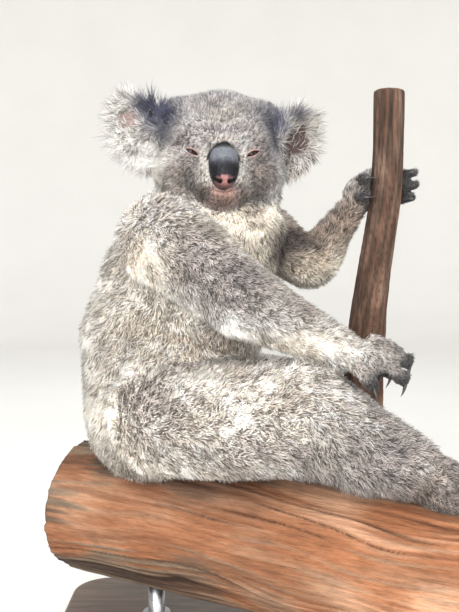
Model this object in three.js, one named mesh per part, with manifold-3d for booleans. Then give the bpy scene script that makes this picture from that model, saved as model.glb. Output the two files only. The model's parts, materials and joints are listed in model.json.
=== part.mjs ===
// A life-size koala, sitting on a cut length of limb and holding an upright stem, on a display stand.
// Millimetres. +Z is up, +X is the way the koala sits, and it looks towards -Y.
// The origin is the middle of the base's underside. Right and left are the koala's own.
// Pieces of the body are its full outline, out to the tips of the coat.
import * as THREE from "three";
import { mergeVertices } from "three/addons/utils/BufferGeometryUtils.js";
import Module from "manifold-3d";

const wasm = await Module();
wasm.setup();

const V = (x, y, z) => new THREE.Vector3(x, y, z);
const rad = THREE.MathUtils.degToRad;
const mix = THREE.MathUtils.lerp;

// ---- driving dimensions ----
const gap = 0.35; // between pieces that meet
const reach = 220; // longest ray from a piece's middle line to its surface

const base = { long: 500, deep: 320, thick: 18, corner: 46 };
const rod = { radius: 10, at: [0.2, 0.78] }; // places along the limb
const limb = { from: V(-232, 84, 146), to: V(258, -132, 117), radii: [80, 72], ripple: 0.02 };
const stem = {
  root: V(108, -34, 150),
  bend: V(111, 22, 250),
  low: V(123, 49, 395),
  grip: V(142, 50, 540),
  top: V(144, 50, 652),
  radii: [30, 25, 21.5, 19.5, 19],
  ripple: 0.04,
};

// The trunk's masses from the seat up, and the neck's: middles and half sizes.
const trunk = [
  { at: V(-135, 26, 270), half: V(84, 110, 82) }, // rump
  { at: V(-113, 22, 360), half: V(112, 100, 90) }, // belly
  { at: V(-90, 12, 440), half: V(103, 84, 76) }, // chest
  { at: V(-66, 5, 502), half: V(91, 70, 50) }, // withers
];
const nape = { at: V(-56, 6, 535), half: V(78, 68, 49) };

// The limbs' joints, and their radii there out to the tips of the coat.
const arms = {
  right: { joints: [V(-113, -62, 471), V(-28, -92, 409), V(69, -95, 362)], radii: [57, 40, 24.5] },
  left: { joints: [V(-6, 62, 484), V(49, 50, 443), V(101, 58, 511)], radii: [43, 31, 20] },
};
const legs = {
  right: { joints: [V(-113, -50, 282), V(36, -86, 288), V(140, -98, 240)], radii: [72, 57, 38.5] },
  left: { joints: [V(-96, 80, 282), V(20, 88, 286), V(34, 44, 234)], radii: [68, 48, 31] },
};

// The head has a frame of its own, with +Z up and the face towards -Y.
const head = { at: V(-55.5, -25, 575), turn: new THREE.Euler(rad(-6), rad(1), rad(4.5), "ZYX") };
const eye = { apart: 32, out: -34, up: -14, radius: 9.5 };
const nose = { at: V(0, -63, -31), half: V(16.5, 17, 24), lean: rad(-16) };
const ears = {
  right: { at: V(-92, 14, 21), half: V(43, 17, 55), turn: new THREE.Euler(0, rad(-25), rad(-8)), dish: 24 },
  left: { at: V(90, 16, 13), half: V(36, 17, 48), turn: new THREE.Euler(0, rad(14), rad(22)), dish: 24 },
};

// ---- fields: negative inside, about a millimetre for each millimetre outside ----
const cone = (a, ra, b, rb) => {
  const run = b.clone().sub(a);
  const q = V();
  return (p) => {
    const t = THREE.MathUtils.clamp(q.copy(p).sub(a).dot(run) / run.lengthSq(), 0, 1);
    return q.copy(a).addScaledVector(run, t).distanceTo(p) - mix(ra, rb, t);
  };
};

const egg = (centre, half, turn = new THREE.Euler()) => {
  const back = new THREE.Quaternion().setFromEuler(turn).invert();
  const q = V();
  const slope = V();
  return (p) => {
    q.copy(p).sub(centre).applyQuaternion(back).divide(half);
    const size = q.length();
    return (size * (size - 1)) / Math.max(slope.copy(q).divide(half).length(), 1e-6);
  };
};

// The union of fields, with fillets about `soft` wide.
const blend = (soft, ...fields) => (p) =>
  fields.reduce((whole, field) => {
    const other = field(p);
    const h = Math.max(soft - Math.abs(whole - other), 0) / soft;
    return Math.min(whole, other) - (h * h * soft) / 4;
  }, 1e3);

// ---- closed surfaces ----
// Rows of points with a pole at each end. point(v, u) places each: v runs between poles, u goes round.
function shell(rows, around, point) {
  const places = [point(0, 0)];
  for (let row = 1; row < rows; row++)
    for (let k = 0; k < around; k++) places.push(point(row / rows, k / around));
  places.push(point(1, 0));
  const last = places.length - 1;
  const at = (row, k) => 1 + (row - 1) * around + (k % around);
  const faces = [];
  for (let k = 0; k < around; k++) {
    faces.push(0, at(1, k + 1), at(1, k));
    for (let row = 1; row < rows - 1; row++) {
      faces.push(at(row, k), at(row, k + 1), at(row + 1, k + 1));
      faces.push(at(row, k), at(row + 1, k + 1), at(row + 1, k));
    }
    faces.push(last, at(rows - 1, k), at(rows - 1, k + 1));
  }
  return new THREE.BufferGeometry().setFromPoints(places).setIndex(faces);
}

// A field's surface, met by rays from a middle line. Rows lie square to the line, and fan out at its ends.
function wrap(field, line, rows, around, grow = 0) {
  const path = line.length > 1 ? new THREE.CatmullRomCurve3(line) : null;
  const along = path ? line[line.length - 1].clone().sub(line[0]).normalize() : V(0, 0, 1);
  const across = Math.abs(along.y) < 0.9 ? V(0, 1, 0) : V(1, 0, 0);
  across.addScaledVector(along, -across.dot(along)).normalize();
  const third = along.clone().cross(across);
  const fan = path ? 0.28 : 0.5; // the share of the rows in each end's fan
  return shell(rows, around, (v, u) => {
    const past = Math.max(fan - v, v - 1 + fan, 0) / fan;
    const tilt = (Math.sign(v - 0.5) * past * Math.PI) / 2;
    const share = THREE.MathUtils.clamp((v - fan) / (1 - 2 * fan || 1), 0, 1);
    const from = path ? path.getPointAt(share) : line[0];
    const turn = u * 2 * Math.PI;
    const ray = across.clone().multiplyScalar(Math.cos(turn)).addScaledVector(third, Math.sin(turn));
    ray.multiplyScalar(Math.cos(tilt)).addScaledVector(along, Math.sin(tilt)).normalize();
    const outside = (r) => field(from.clone().addScaledVector(ray, r)) > grow;
    let near = 0;
    while (near < reach && !outside(near + 3)) near += 3;
    let far = near + 3;
    for (let i = 0; i < 12; i++) {
      const middle = (near + far) / 2;
      if (outside(middle)) far = middle;
      else near = middle;
    }
    return from.clone().addScaledVector(ray, near);
  });
}

// A tube along a smooth path, its radius running through `radii`, with round or flat ends.
const plain = { around: 5, rows: 3, flat: false, grow: 0, ripple: () => 0 };
function taper(points, radii, shape) {
  const { around, rows, flat, grow, ripple } = { ...plain, ...shape };
  const path = new THREE.CatmullRomCurve3(points);
  const frames = path.computeFrenetFrames(rows);
  const ends = flat ? 1 : 2; // rows of points past each end of the path
  const total = rows + 2 * ends;
  return shell(total, around, (v, u) => {
    const row = Math.round(v * total) - ends;
    const i = THREE.MathUtils.clamp(row, 0, rows);
    const t = i / rows;
    const place = t * (radii.length - 1);
    const k = Math.min(Math.floor(place), radii.length - 2);
    const radius = mix(radii[k], radii[k + 1], place - k) * (1 + ripple(t, u)) + grow;
    const bow = ((row - i) / ends) * (Math.PI / 2);
    const out = (flat ? grow : radius) * Math.sin(bow);
    const wide = radius * Math.cos(bow);
    const turn = u * 2 * Math.PI;
    return path
      .getPointAt(t)
      .addScaledVector(frames.tangents[i], out)
      .addScaledVector(frames.normals[i], wide * Math.cos(turn))
      .addScaledVector(frames.binormals[i], wide * Math.sin(turn));
  });
}

// ---- solids ----
function solid(geometry) {
  const bare = geometry.clone();
  bare.deleteAttribute("normal");
  bare.deleteAttribute("uv");
  const { attributes, index } = mergeVertices(bare, 1e-4);
  const vertProperties = attributes.position.array;
  const triVerts = new Uint32Array(index.array);
  return new wasm.Manifold(new wasm.Mesh({ numProp: 3, vertProperties, triVerts }));
}

const largest = (made) =>
  made.decompose().reduce((best, part) => (part.volume() > best.volume() ? part : best));

const without = (made, ...others) =>
  largest(others.reduce((left, other) => left.subtract(other), made));

// The part of a solid on the side of a plane that `facing` points to.
function beyond(made, point, facing) {
  const size = 900;
  const block = new THREE.BoxGeometry(size, size, size).translate(0, 0, (size + gap) / 2);
  block.applyQuaternion(new THREE.Quaternion().setFromUnitVectors(V(0, 0, 1), facing));
  return largest(made.intersect(solid(block.translate(point.x, point.y, point.z))));
}

// A piece at its own size, and the same piece a little grown, which cuts its neighbours.
const both = (make) => ({ own: make(0), cutter: make(gap) });

// ---- the perch: a thick limb, and a stem that rises from it ----
const limbAt = (t) => limb.from.clone().lerp(limb.to, t);
const waves = (size, phase) => (t, u) => {
  const turn = u * 2 * Math.PI;
  return size * (Math.sin(2 * turn + 5 * t + phase) + 0.6 * Math.sin(3 * turn - 9 * t));
};

const limbSolid = both((grow) => {
  const shape = { around: 18, rows: 5, flat: true, grow, ripple: waves(limb.ripple, 0) };
  return solid(taper([limb.from, limbAt(0.5), limb.to], limb.radii, shape));
});
const stemSolid = both((grow) => {
  const shape = { around: 9, rows: 8, flat: true, grow, ripple: waves(stem.ripple, 1) };
  return solid(taper([stem.root, stem.bend, stem.low, stem.grip, stem.top], stem.radii, shape));
});

// ---- the stand ----
function baseBoard() {
  const { long, deep, thick, corner } = base;
  const [x, y] = [long / 2 - corner, deep / 2 - corner];
  const outline = new THREE.Shape();
  const corners = [[x, y], [-x, y], [-x, -y], [x, -y]];
  corners.forEach(([cx, cy], i) => outline.absarc(cx, cy, corner, rad(90 * i), rad(90 * (i + 1))));
  const options = { depth: thick, bevelEnabled: false, curveSegments: 4 };
  return solid(new THREE.ExtrudeGeometry(outline, options));
}

// An upright rod from the base up to the limb's underside.
function standRod(t) {
  const { x, y, z } = limbAt(t);
  const bottom = base.thick + gap;
  const post = new THREE.CylinderGeometry(rod.radius, rod.radius, z - bottom, 10).rotateX(Math.PI / 2);
  return without(solid(post.translate(x, y, (z + bottom) / 2)), limbSolid.cutter);
}

// ---- head, in its own frame ----
const headFrame = new THREE.Matrix4().makeRotationFromEuler(head.turn).setPosition(head.at);

function headField() {
  const pair = (x, y, z, half) => [-1, 1].map((side) => egg(V(x * side, y, z), half));
  return blend(
    18,
    egg(V(0, 14, 14), V(58, 60, 53)), // cranium
    ...pair(50, 16, 33, V(24, 24, 27)), // roots of the ears
    ...pair(38, 4, -26, V(34, 43, 35)), // cheeks
    ...pair(29, -25, 5, V(22, 22, 16)), // brows
    egg(V(0, -30, -4), V(22, 28, 26)), // bridge
    egg(V(0, -35, -38), V(29, 34, 25)), // muzzle
    egg(V(0, -28, -56), V(23, 29, 16)), // chin
  );
}

function noseField() {
  const lean = new THREE.Euler(nose.lean, 0, 0);
  const nostrils = nose.at.clone().add(V(0, -7, -14));
  return blend(8, egg(nose.at, nose.half, lean), egg(nostrils, V(15, 12, 11)));
}

function eyeSolid(side, grow) {
  const ball = new THREE.SphereGeometry(eye.radius + grow, 9, 6);
  return solid(ball.translate(eye.apart * side, eye.out, eye.up).applyMatrix4(headFrame));
}

const headWhole = both((grow) => {
  const middle = V(0, 8, -8);
  return solid(wrap(headField(), [middle], 22, 24, grow).applyMatrix4(headFrame));
});
const headSolid = without(headWhole.own, eyeSolid(-1, gap), eyeSolid(1, gap));
const noseWhole = solid(wrap(noseField(), [nose.at], 8, 10).applyMatrix4(headFrame));
const noseSolid = without(noseWhole, headWhole.cutter);

// A fluffy ear: a thick disc, dished in front. Its poles are the middle of the dish and of the back.
const earWhole = ({ at, half, turn, dish }) => both((grow) => {
  const place = new THREE.Matrix4().makeRotationFromEuler(turn).setPosition(at).premultiply(headFrame);
  const size = half.clone().addScalar(grow);
  const disc = shell(9, 14, (v, u) => {
    const bow = v * Math.PI;
    const out = Math.sin(bow);
    const hollow = v < 0.5 ? dish * (1 - out ** 2) : 0;
    const round = -u * 2 * Math.PI;
    const edge = V(Math.cos(round), 0, Math.sin(round)).multiply(size).multiplyScalar(out);
    return edge.setY(hollow - size.y * Math.cos(bow));
  });
  return solid(disc.applyMatrix4(place));
});
const earWholes = { right: earWhole(ears.right), left: earWhole(ears.left) };
const earCutters = [earWholes.right.cutter, earWholes.left.cutter];

// ---- trunk, neck and limbs ----
const trunkWhole = both((grow) => {
  const field = blend(40, ...trunk.map(({ at, half }) => egg(at, half)));
  return solid(wrap(field, trunk.map(({ at }) => at), 12, 15, grow));
});
const neckWhole = both((grow) => solid(wrap(egg(nape.at, nape.half), [nape.at], 7, 12, grow)));

// An arm or leg, made whole, and parted square to itself at its middle joint.
function limbWhole({ joints, radii }, extra, rows, around) {
  const [near, middle, far] = joints;
  const upper = cone(near, radii[0], middle, radii[1]);
  const lower = cone(middle, radii[1], far, radii[2]);
  const field = blend(16, upper, lower, ...extra);
  return both((grow) => solid(wrap(field, joints, rows, around, grow)));
}
function parted(whole, [near, middle, far], cutters) {
  const above = middle.clone().sub(near).normalize();
  const below = far.clone().sub(middle).normalize();
  const facing = above.add(below).normalize();
  const left = without(whole.own, ...cutters);
  return [beyond(left, middle, facing.clone().negate()), beyond(left, middle, facing)];
}

const rightArmWhole = limbWhole(arms.right, [], 12, 12);
const rightLegWhole = limbWhole(legs.right, [egg(V(-30, -78, 270), V(80, 42, 54))], 12, 13);

// The left elbow and knee are bent too sharply for one wrap, so their two lengths are made apart.
const lengthWhole = (a, ra, b, rb, ...extra) =>
  both((grow) => solid(wrap(blend(14, cone(a, ra, b, rb), ...extra), [a, b], 9, 11, grow)));
const [leftShoulder, leftElbow, leftWrist] = arms.left.joints;
const [shoulderRadius, elbowRadius, wristRadius] = arms.left.radii;
const fringe = egg(V(66, 46, 452), V(26, 22, 24)); // long hair behind the elbow
const leftUpperArm = lengthWhole(leftShoulder, shoulderRadius, leftElbow, elbowRadius);
const leftForearm = lengthWhole(leftElbow, elbowRadius, leftWrist, wristRadius, fringe);
const [leftHip, leftKnee, leftAnkle] = legs.left.joints;
const [hipRadius, kneeRadius, ankleRadius] = legs.left.radii;
const leftThigh = lengthWhole(leftHip, hipRadius, leftKnee, kneeRadius);
const leftShank = lengthWhole(leftKnee, kneeRadius, leftAnkle, ankleRadius);

// ---- hands and feet ----
// A paw's frame: +X the way its digits point, +Z out of its back.
const pawFrame = (at, along, back) => {
  const x = along.clone().normalize();
  const y = back.clone().cross(x).normalize();
  return new THREE.Matrix4().makeBasis(x, y, x.clone().cross(y)).setPosition(at);
};

// A digit from its knuckle: two lengths that curl down, and a claw that goes on curling.
function curled(frame, { knuckle, yaw = 0, pitch, curl, long, claw }) {
  const points = [knuckle.clone()];
  [0.56 * long, 0.44 * long, claw].forEach((run, i) => {
    const rise = rad(pitch - i * curl);
    const level = Math.cos(rise);
    const step = V(level * Math.cos(rad(yaw)), level * Math.sin(rad(yaw)), Math.sin(rise));
    points.push(points[i].clone().addScaledVector(step, run));
  });
  points.forEach((p) => p.applyMatrix4(frame));
  return { path: points.slice(0, 3), tip: points[3] };
}

// A digit that grips the stem at a height, from one heading to another (degrees from +X towards +Y).
function gripping({ height, from, to, claw }) {
  const clear = 28; // from the stem's middle to the digit's
  const at = (heading, away) => {
    const { x, y } = stem.grip;
    return V(x + Math.cos(rad(heading)) * away, y + Math.sin(rad(heading)) * away, height);
  };
  const path = [0, 0.33, 0.67, 1].map((s) => at(mix(from, to, s), clear));
  return { path, tip: at(to + claw, clear * 0.86) };
}

// A foot's clawless big toe, and its other four.
const toes = (frame, big, others) => ({
  thumb: curled(frame, big),
  digits: others.map((digit) => curled(frame, digit)),
});

const paws = {
  hand_right: () => {
    const at = V(90, -94, 353);
    const frame = pawFrame(at, V(0.9, 0, -0.44), V(0, 0, 1));
    const digits = [
      { knuckle: V(6, 20, 8), pitch: -8, curl: 30, long: 34, claw: 15 },
      { knuckle: V(0, 24, -4), pitch: -20, curl: 30, long: 30, claw: 15 },
      { knuckle: V(7, 9, 20), yaw: 3, pitch: 5, curl: 31, long: 41, claw: 17 },
      { knuckle: V(13, -3, 8), pitch: -6, curl: 28, long: 37, claw: 16 },
      { knuckle: V(0, -13, -9), yaw: -4, pitch: -26, curl: 8, long: 24, claw: 18 },
    ];
    const palm = egg(at, V(30, 24, 17), new THREE.Euler(0, rad(26), 0));
    return { at, palm, digits: digits.map((digit) => curled(frame, digit)), sizes: [9.5, 9, 7] };
  },
  hand_left: () => {
    const at = V(112, 66, 530);
    const digits = [
      { height: 547, from: 165, to: 205, claw: 28 },
      { height: 526, from: 165, to: 200, claw: 28 },
      { height: 554, from: 130, to: 22, claw: -32 },
      { height: 539, from: 130, to: 14, claw: -32 },
      { height: 525, from: 130, to: 24, claw: -32 },
    ];
    const palm = egg(at, V(20, 19, 24), new THREE.Euler(0, rad(20), 0));
    return { at, palm, digits: digits.map(gripping), sizes: [9, 8.5, 8, 7] };
  },
  foot_right: () => {
    const at = V(176, -104, 221);
    const frame = pawFrame(at, V(0.9, -0.1, -0.32), V(0, 0, 1));
    const digits = [2, 3, 4, 5].map((n) => ({
      knuckle: V(19 - 6 * (n - 3) ** 2, 12 - 13 * (n - 2), 1 - 1.5 * n),
      yaw: -9 * (n - 2.6),
      pitch: 4,
      curl: 16,
      long: 32,
      claw: 17,
    }));
    const palm = egg(at, V(45, 30, 28), new THREE.Euler(0, rad(22), 0));
    const toe = { knuckle: V(-8, 18, -6), yaw: 50, pitch: -12, curl: 14, long: 34, claw: 0 };
    return { at, palm, ...toes(frame, toe, digits), sizes: [10, 9.5, 7] };
  },
  foot_left: () => {
    const at = V(33, 14, 213);
    const frame = pawFrame(at, V(0.5, -0.86, 0.1), V(0, 0, 1));
    const digits = [2, 3, 4, 5].map((n) => ({
      knuckle: V(14 - 3 * (n - 3) ** 2, -13 + 11 * (n - 2), 2 - 1.2 * n),
      yaw: 7 * (n - 3),
      pitch: 6,
      curl: 17,
      long: 31,
      claw: 15,
    }));
    const palm = egg(at, V(35, 25, 21), new THREE.Euler(0, 0, rad(-60)));
    const toe = { knuckle: V(-4, -16, 0), yaw: -58, pitch: 4, curl: 14, long: 30, claw: 0 };
    return { at, palm, ...toes(frame, toe, digits), sizes: [10, 9, 7] };
  },
};

// A claw starts inside its digit's tip, bends down, and ends in a point.
function clawSolid({ path, tip }) {
  const [before, end] = path.slice(-2);
  const lead = end.clone().sub(before).normalize();
  const root = end.clone().addScaledVector(lead, -1);
  const bend = end.clone().lerp(tip, 0.5).addScaledVector(lead, 4);
  return solid(taper([root, bend, tip], [3.8, 3, 0.8], { rows: 2, flat: true }));
}

// ---- assembly ----
const tones = {
  grey: { color: 0x9b9590, roughness: 0.95, metalness: 0 },
  pale: { color: 0xd9d2c6, roughness: 0.95, metalness: 0 },
  slate: { color: 0x33363c, roughness: 0.5, metalness: 0 },
  eye: { color: 0x3a2417, roughness: 0.1, metalness: 0 },
  horn: { color: 0x17161a, roughness: 0.35, metalness: 0 },
  bark: { color: 0x9a5f3c, roughness: 0.85, metalness: 0 },
  stem: { color: 0x6f5444, roughness: 0.8, metalness: 0 },
  board: { color: 0x35312f, roughness: 0.6, metalness: 0 },
  steel: { color: 0x8d9094, roughness: 0.3, metalness: 0.9 },
};

const display = new THREE.Group();
display.name = "koala_display";

function group(name, parent = display, at = V(), turn = new THREE.Euler()) {
  const made = new THREE.Group();
  made.name = name;
  made.position.copy(at);
  made.rotation.copy(turn);
  parent.add(made);
  made.updateWorldMatrix(true, false);
  return made;
}

// A solid becomes a mesh in a group. Its own origin is `pivot`, such as the joint that it hangs from.
function place(parent, name, made, tone, pivot = V()) {
  const { numProp, vertProperties, triVerts } = made.getMesh();
  const geometry = new THREE.BufferGeometry();
  const places = new THREE.BufferAttribute(Float32Array.from(vertProperties), numProp);
  geometry.setAttribute("position", places);
  geometry.setIndex(new THREE.BufferAttribute(Uint32Array.from(triVerts), 1));
  geometry.applyMatrix4(parent.matrixWorld.clone().invert());
  const mesh = new THREE.Mesh(geometry, new THREE.MeshStandardMaterial({ name: tone, ...tones[tone] }));
  mesh.name = name;
  mesh.position.copy(parent.worldToLocal(pivot.clone()));
  geometry.translate(-mesh.position.x, -mesh.position.y, -mesh.position.z);
  geometry.computeVertexNormals();
  parent.add(mesh);
}

const stand = group("stand");
place(stand, "stand_base", baseBoard(), "board");
rod.at.forEach((t, i) => place(stand, `stand_rod_${i + 1}`, standRod(t), "steel", limbAt(t)));

const perch = group("perch");
place(perch, "perch_limb", limbSolid.own, "bark", limb.from);
place(perch, "perch_stem", without(stemSolid.own, limbSolid.cutter), "stem", stem.low);

const koala = group("koala");
const face = group("face", koala, head.at, head.turn);
place(face, "head", headSolid, "grey", head.at);
place(face, "nose", noseSolid, "slate", head.at);
[["right", -1], ["left", 1]].forEach(([name, side]) => {
  place(face, `eye_${name}`, eyeSolid(side, 0), "eye", head.at);
  place(face, `ear_${name}`, without(earWholes[name].own, headWhole.cutter), "pale", head.at);
});

const wood = [limbSolid.cutter, stemSolid.cutter];
const headCutters = [headWhole.cutter, ...earCutters];
place(koala, "neck", without(neckWhole.own, trunkWhole.cutter, ...headCutters), "pale", nape.at);
place(koala, "trunk", without(trunkWhole.own, ...headCutters, ...wood), "grey", trunk[1].at);
const torso = [trunkWhole.cutter, neckWhole.cutter, ...headCutters];

// Each limb's two lengths are pivoted at the shoulder or hip, and at the elbow or knee.
function placeLengths(names, lengths, joints) {
  lengths.forEach((made, i) => place(koala, names[i], made, "grey", joints[i]));
}
const rightArm = parted(rightArmWhole, arms.right.joints, torso);
placeLengths(["upper_arm_right", "forearm_right"], rightArm, arms.right.joints);
const leftArm = [
  without(leftUpperArm.own, ...torso),
  without(leftForearm.own, leftUpperArm.cutter, ...torso, stemSolid.cutter),
];
placeLengths(["upper_arm_left", "forearm_left"], leftArm, arms.left.joints);
const rightLeg = parted(rightLegWhole, legs.right.joints, [...torso, ...wood, rightArmWhole.cutter]);
placeLengths(["thigh_right", "shank_right"], rightLeg, legs.right.joints);
const leftLegCutters = [...torso, ...wood, rightLegWhole.cutter];
const leftLeg = [
  without(leftThigh.own, ...leftLegCutters),
  without(leftShank.own, leftThigh.cutter, ...leftLegCutters),
];
placeLengths(["thigh_left", "shank_left"], leftLeg, legs.left.joints);

// What each paw is cut clear of, besides the wood.
const beside = {
  hand_right: [rightArmWhole.cutter, rightLegWhole.cutter],
  hand_left: [leftUpperArm.cutter, leftForearm.cutter],
  foot_right: [rightLegWhole.cutter],
  foot_left: [leftThigh.cutter, leftShank.cutter, rightLegWhole.cutter],
};
Object.entries(paws).forEach(([name, plan]) => {
  const { at, palm, thumb, digits, sizes } = plan();
  const whole = both((grow) => {
    const all = thumb ? [thumb, ...digits] : digits;
    const lumps = all.map(({ path }) => solid(taper(path, sizes, { grow })));
    return lumps.reduce((sum, lump) => sum.add(lump), solid(wrap(palm, [at], 6, 9, grow)));
  });
  const cutters = [...wood, ...beside[name]];
  const own = group(name, koala, at);
  place(own, name, without(whole.own, ...cutters), "grey", at);
  digits.forEach((digit, i) => {
    const number = i + (thumb ? 2 : 1);
    const claw = without(clawSolid(digit), whole.cutter, ...cutters);
    place(own, `claw_${name}_${number}`, claw, "horn", digit.tip);
  });
});

export default display;
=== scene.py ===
import json
import math
from types import SimpleNamespace

import bmesh
import bpy
import numpy as np
from mathutils import Euler, Matrix, Vector
from mathutils.bvhtree import BVHTree

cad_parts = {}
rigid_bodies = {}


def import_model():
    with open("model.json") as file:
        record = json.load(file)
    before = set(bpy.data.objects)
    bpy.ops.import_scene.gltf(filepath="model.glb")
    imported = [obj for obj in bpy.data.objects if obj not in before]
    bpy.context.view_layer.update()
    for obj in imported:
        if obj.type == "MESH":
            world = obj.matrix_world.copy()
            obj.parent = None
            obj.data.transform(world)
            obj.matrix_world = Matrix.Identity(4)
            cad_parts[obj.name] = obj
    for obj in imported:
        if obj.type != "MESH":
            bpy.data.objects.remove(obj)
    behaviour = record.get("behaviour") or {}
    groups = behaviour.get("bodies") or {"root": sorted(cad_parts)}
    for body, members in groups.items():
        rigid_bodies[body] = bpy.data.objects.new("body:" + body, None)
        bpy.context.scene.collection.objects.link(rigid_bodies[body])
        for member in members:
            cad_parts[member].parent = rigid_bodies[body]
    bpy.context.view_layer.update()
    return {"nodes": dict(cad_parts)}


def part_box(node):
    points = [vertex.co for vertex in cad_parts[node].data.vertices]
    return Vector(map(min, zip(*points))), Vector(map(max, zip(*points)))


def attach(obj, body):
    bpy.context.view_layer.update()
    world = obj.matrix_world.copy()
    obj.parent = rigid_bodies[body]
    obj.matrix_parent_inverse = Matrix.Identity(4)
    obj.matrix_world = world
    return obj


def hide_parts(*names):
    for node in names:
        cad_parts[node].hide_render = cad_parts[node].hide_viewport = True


# A koala on a cut limb, on its display stand. +Z is up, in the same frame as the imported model.
# Right and left are the koala's own. Lengths are metres, or millimetres where a note says so.
for thing in list(bpy.data.objects):
    bpy.data.objects.remove(thing)
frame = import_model()
print("frame loaded:", len(frame["nodes"]), "nodes")

flesh = [
    "head", "neck", "trunk", "upper_arm_right", "forearm_right", "upper_arm_left", "forearm_left",
    "thigh_right", "shank_right", "thigh_left", "shank_left",
    "hand_right", "hand_left", "foot_right", "foot_left",
]
mm = 0.001


def ease(value, low, high):  # from 0 at low to 1 at high
    share = np.clip((value - low) / (high - low), 0, 1)
    return share * share * (3 - 2 * share)


def mix(first, second, share):
    first = np.asarray(first, float)
    return first + (np.asarray(second, float) - first) * np.asarray(share)


def unit(vectors):
    return vectors / np.maximum(np.linalg.norm(vectors, axis=-1, keepdims=True), 1e-12)


def blob(places, centre, half):  # 1 in the middle, and fading out past the half sizes
    return np.exp(-(((places - np.array(centre)) / np.array(half)) ** 2).sum(1))


def band(distance, width):  # 1 on a line, and fading out past the width
    return np.exp(-((distance / width) ** 2))


def waves(places, length, seed, count=9):  # soft noise, mostly between -1.5 and 1.5
    rng = np.random.default_rng(seed)
    total = np.zeros(len(places))
    for _ in range(count):
        heading = unit(rng.normal(size=3)) * 2 * math.pi / (length * rng.uniform(0.7, 1.4))
        total += np.sin(places @ heading + rng.uniform(0, 2 * math.pi))
    return total / math.sqrt(count / 2)


def linear(colour):  # from a screen colour to a light one
    colour = np.array(colour, float)
    return np.where(colour > 0.04045, ((colour + 0.055) / 1.055) ** 2.4, colour / 12.92)


def roundTurns(count):  # angles once round
    return np.linspace(0, 2 * math.pi, count, endpoint=False)


def ringAt(turns, radius, height):  # a level ring of points round the Z axis
    return np.stack([radius * np.cos(turns), radius * np.sin(turns), np.full(len(turns), height)], 1)


def middleOf(box):
    low, high = box
    return (np.array(low) + np.array(high)) / 2


def readVectors(collection, name="co"):
    flat = np.empty(len(collection) * 3, np.float32)
    collection.foreach_get(name, flat)
    return flat.reshape(-1, 3).astype(float)


def readEdges(mesh):
    flat = np.empty(len(mesh.edges) * 2, np.int32)
    mesh.edges.foreach_get("vertices", flat)
    return flat.reshape(-1, 2)


def writePlaces(mesh, places):
    mesh.vertices.foreach_set("co", places.astype(np.float32).ravel())
    mesh.update()


def neighbourMean(values, edges):
    first, second = edges.T
    count = len(values)
    degree = np.maximum(np.bincount(edges.ravel(), minlength=count), 1)
    columns = [
        np.bincount(first, column[second], count) + np.bincount(second, column[first], count)
        for column in values.T
    ]
    return np.stack(columns, 1) / degree[:, None]


def relaxed(values, edges, rounds, strength=0.5, restore=0.0):  # smoothed along the edges
    values = values.copy()
    strength = np.broadcast_to(np.asarray(strength, float).reshape(-1, 1), (len(values), 1))
    for _ in range(rounds):
        values += strength * (neighbourMean(values, edges) - values)
        if restore:
            values -= restore * strength * (neighbourMean(values, edges) - values)
    return values


def evened(values, edges, rounds):  # the same for one value to a corner
    return relaxed(np.asarray(values, float)[:, None], edges, rounds)[:, 0]


def paint(mesh, colours, name="paint"):
    layer = mesh.color_attributes.get(name) or mesh.color_attributes.new(name, "FLOAT_COLOR", "POINT")
    rgba = np.ones((len(mesh.vertices), 4), np.float32)
    rgba[:, :3] = colours
    layer.data.foreach_set("color", rgba.ravel())


def newObject(name, data):
    made = bpy.data.objects.new(name, data)
    bpy.context.scene.collection.objects.link(made)
    return made


def addPiece(name, mesh, material, stands=()):
    piece = newObject(name, mesh)
    mesh.materials.clear()
    mesh.materials.append(material)
    mesh.polygons.foreach_set("use_smooth", np.full(len(mesh.polygons), True))
    mesh.update()
    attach(piece, "root")
    if stands:
        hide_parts(*stands)


def mergedCopy(nodes, grow=0.0):  # CAD nodes in one mesh, with shared corners
    mesh = bpy.data.meshes.new("copy")
    form = bmesh.new()
    for node in nodes:
        form.from_mesh(frame["nodes"][node].data)
    bmesh.ops.remove_doubles(form, verts=form.verts, dist=1e-5)
    form.normal_update()
    for corner in form.verts:
        corner.co += corner.normal * grow
    form.to_mesh(mesh)
    form.free()
    return mesh


def joinedMeshes(meshes):
    form = bmesh.new()
    for mesh in meshes:
        form.from_mesh(mesh)
    joined = bpy.data.meshes.new("joined")
    form.to_mesh(joined)
    form.free()
    return joined


def remeshed(mesh, voxel):
    holder = newObject("voxels", mesh)
    modifier = holder.modifiers.new("voxels", "REMESH")
    modifier.mode = "VOXEL"
    modifier.voxel_size = voxel
    shown = holder.evaluated_get(bpy.context.evaluated_depsgraph_get())
    made = bpy.data.meshes.new_from_object(shown)
    bpy.data.objects.remove(holder)
    return made


def gridShell(name, rings, closed=True):  # rings of points joined by quads, with a point at each end
    count = len(rings[0])
    corners = [point for ring in rings for point in ring]
    faces = []
    for row in range(len(rings) - 1):
        for k in range(count):
            a, b = row * count + k, row * count + (k + 1) % count
            faces.append((a, b, b + count, a + count))
    if closed:
        for row, turn in ((0, -1), (len(rings) - 1, 1)):
            middle = len(corners)
            corners.append(np.mean(rings[row], axis=0))
            for k in range(count):
                a, b = row * count + k, row * count + (k + 1) % count
                faces.append((a, b, middle) if turn > 0 else (b, a, middle))
    mesh = bpy.data.meshes.new(name)
    mesh.from_pydata([tuple(map(float, c)) for c in corners], [], faces)
    form = bmesh.new()
    form.from_mesh(mesh)
    bmesh.ops.recalc_face_normals(form, faces=form.faces)
    form.to_mesh(mesh)
    form.free()
    return mesh


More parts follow.
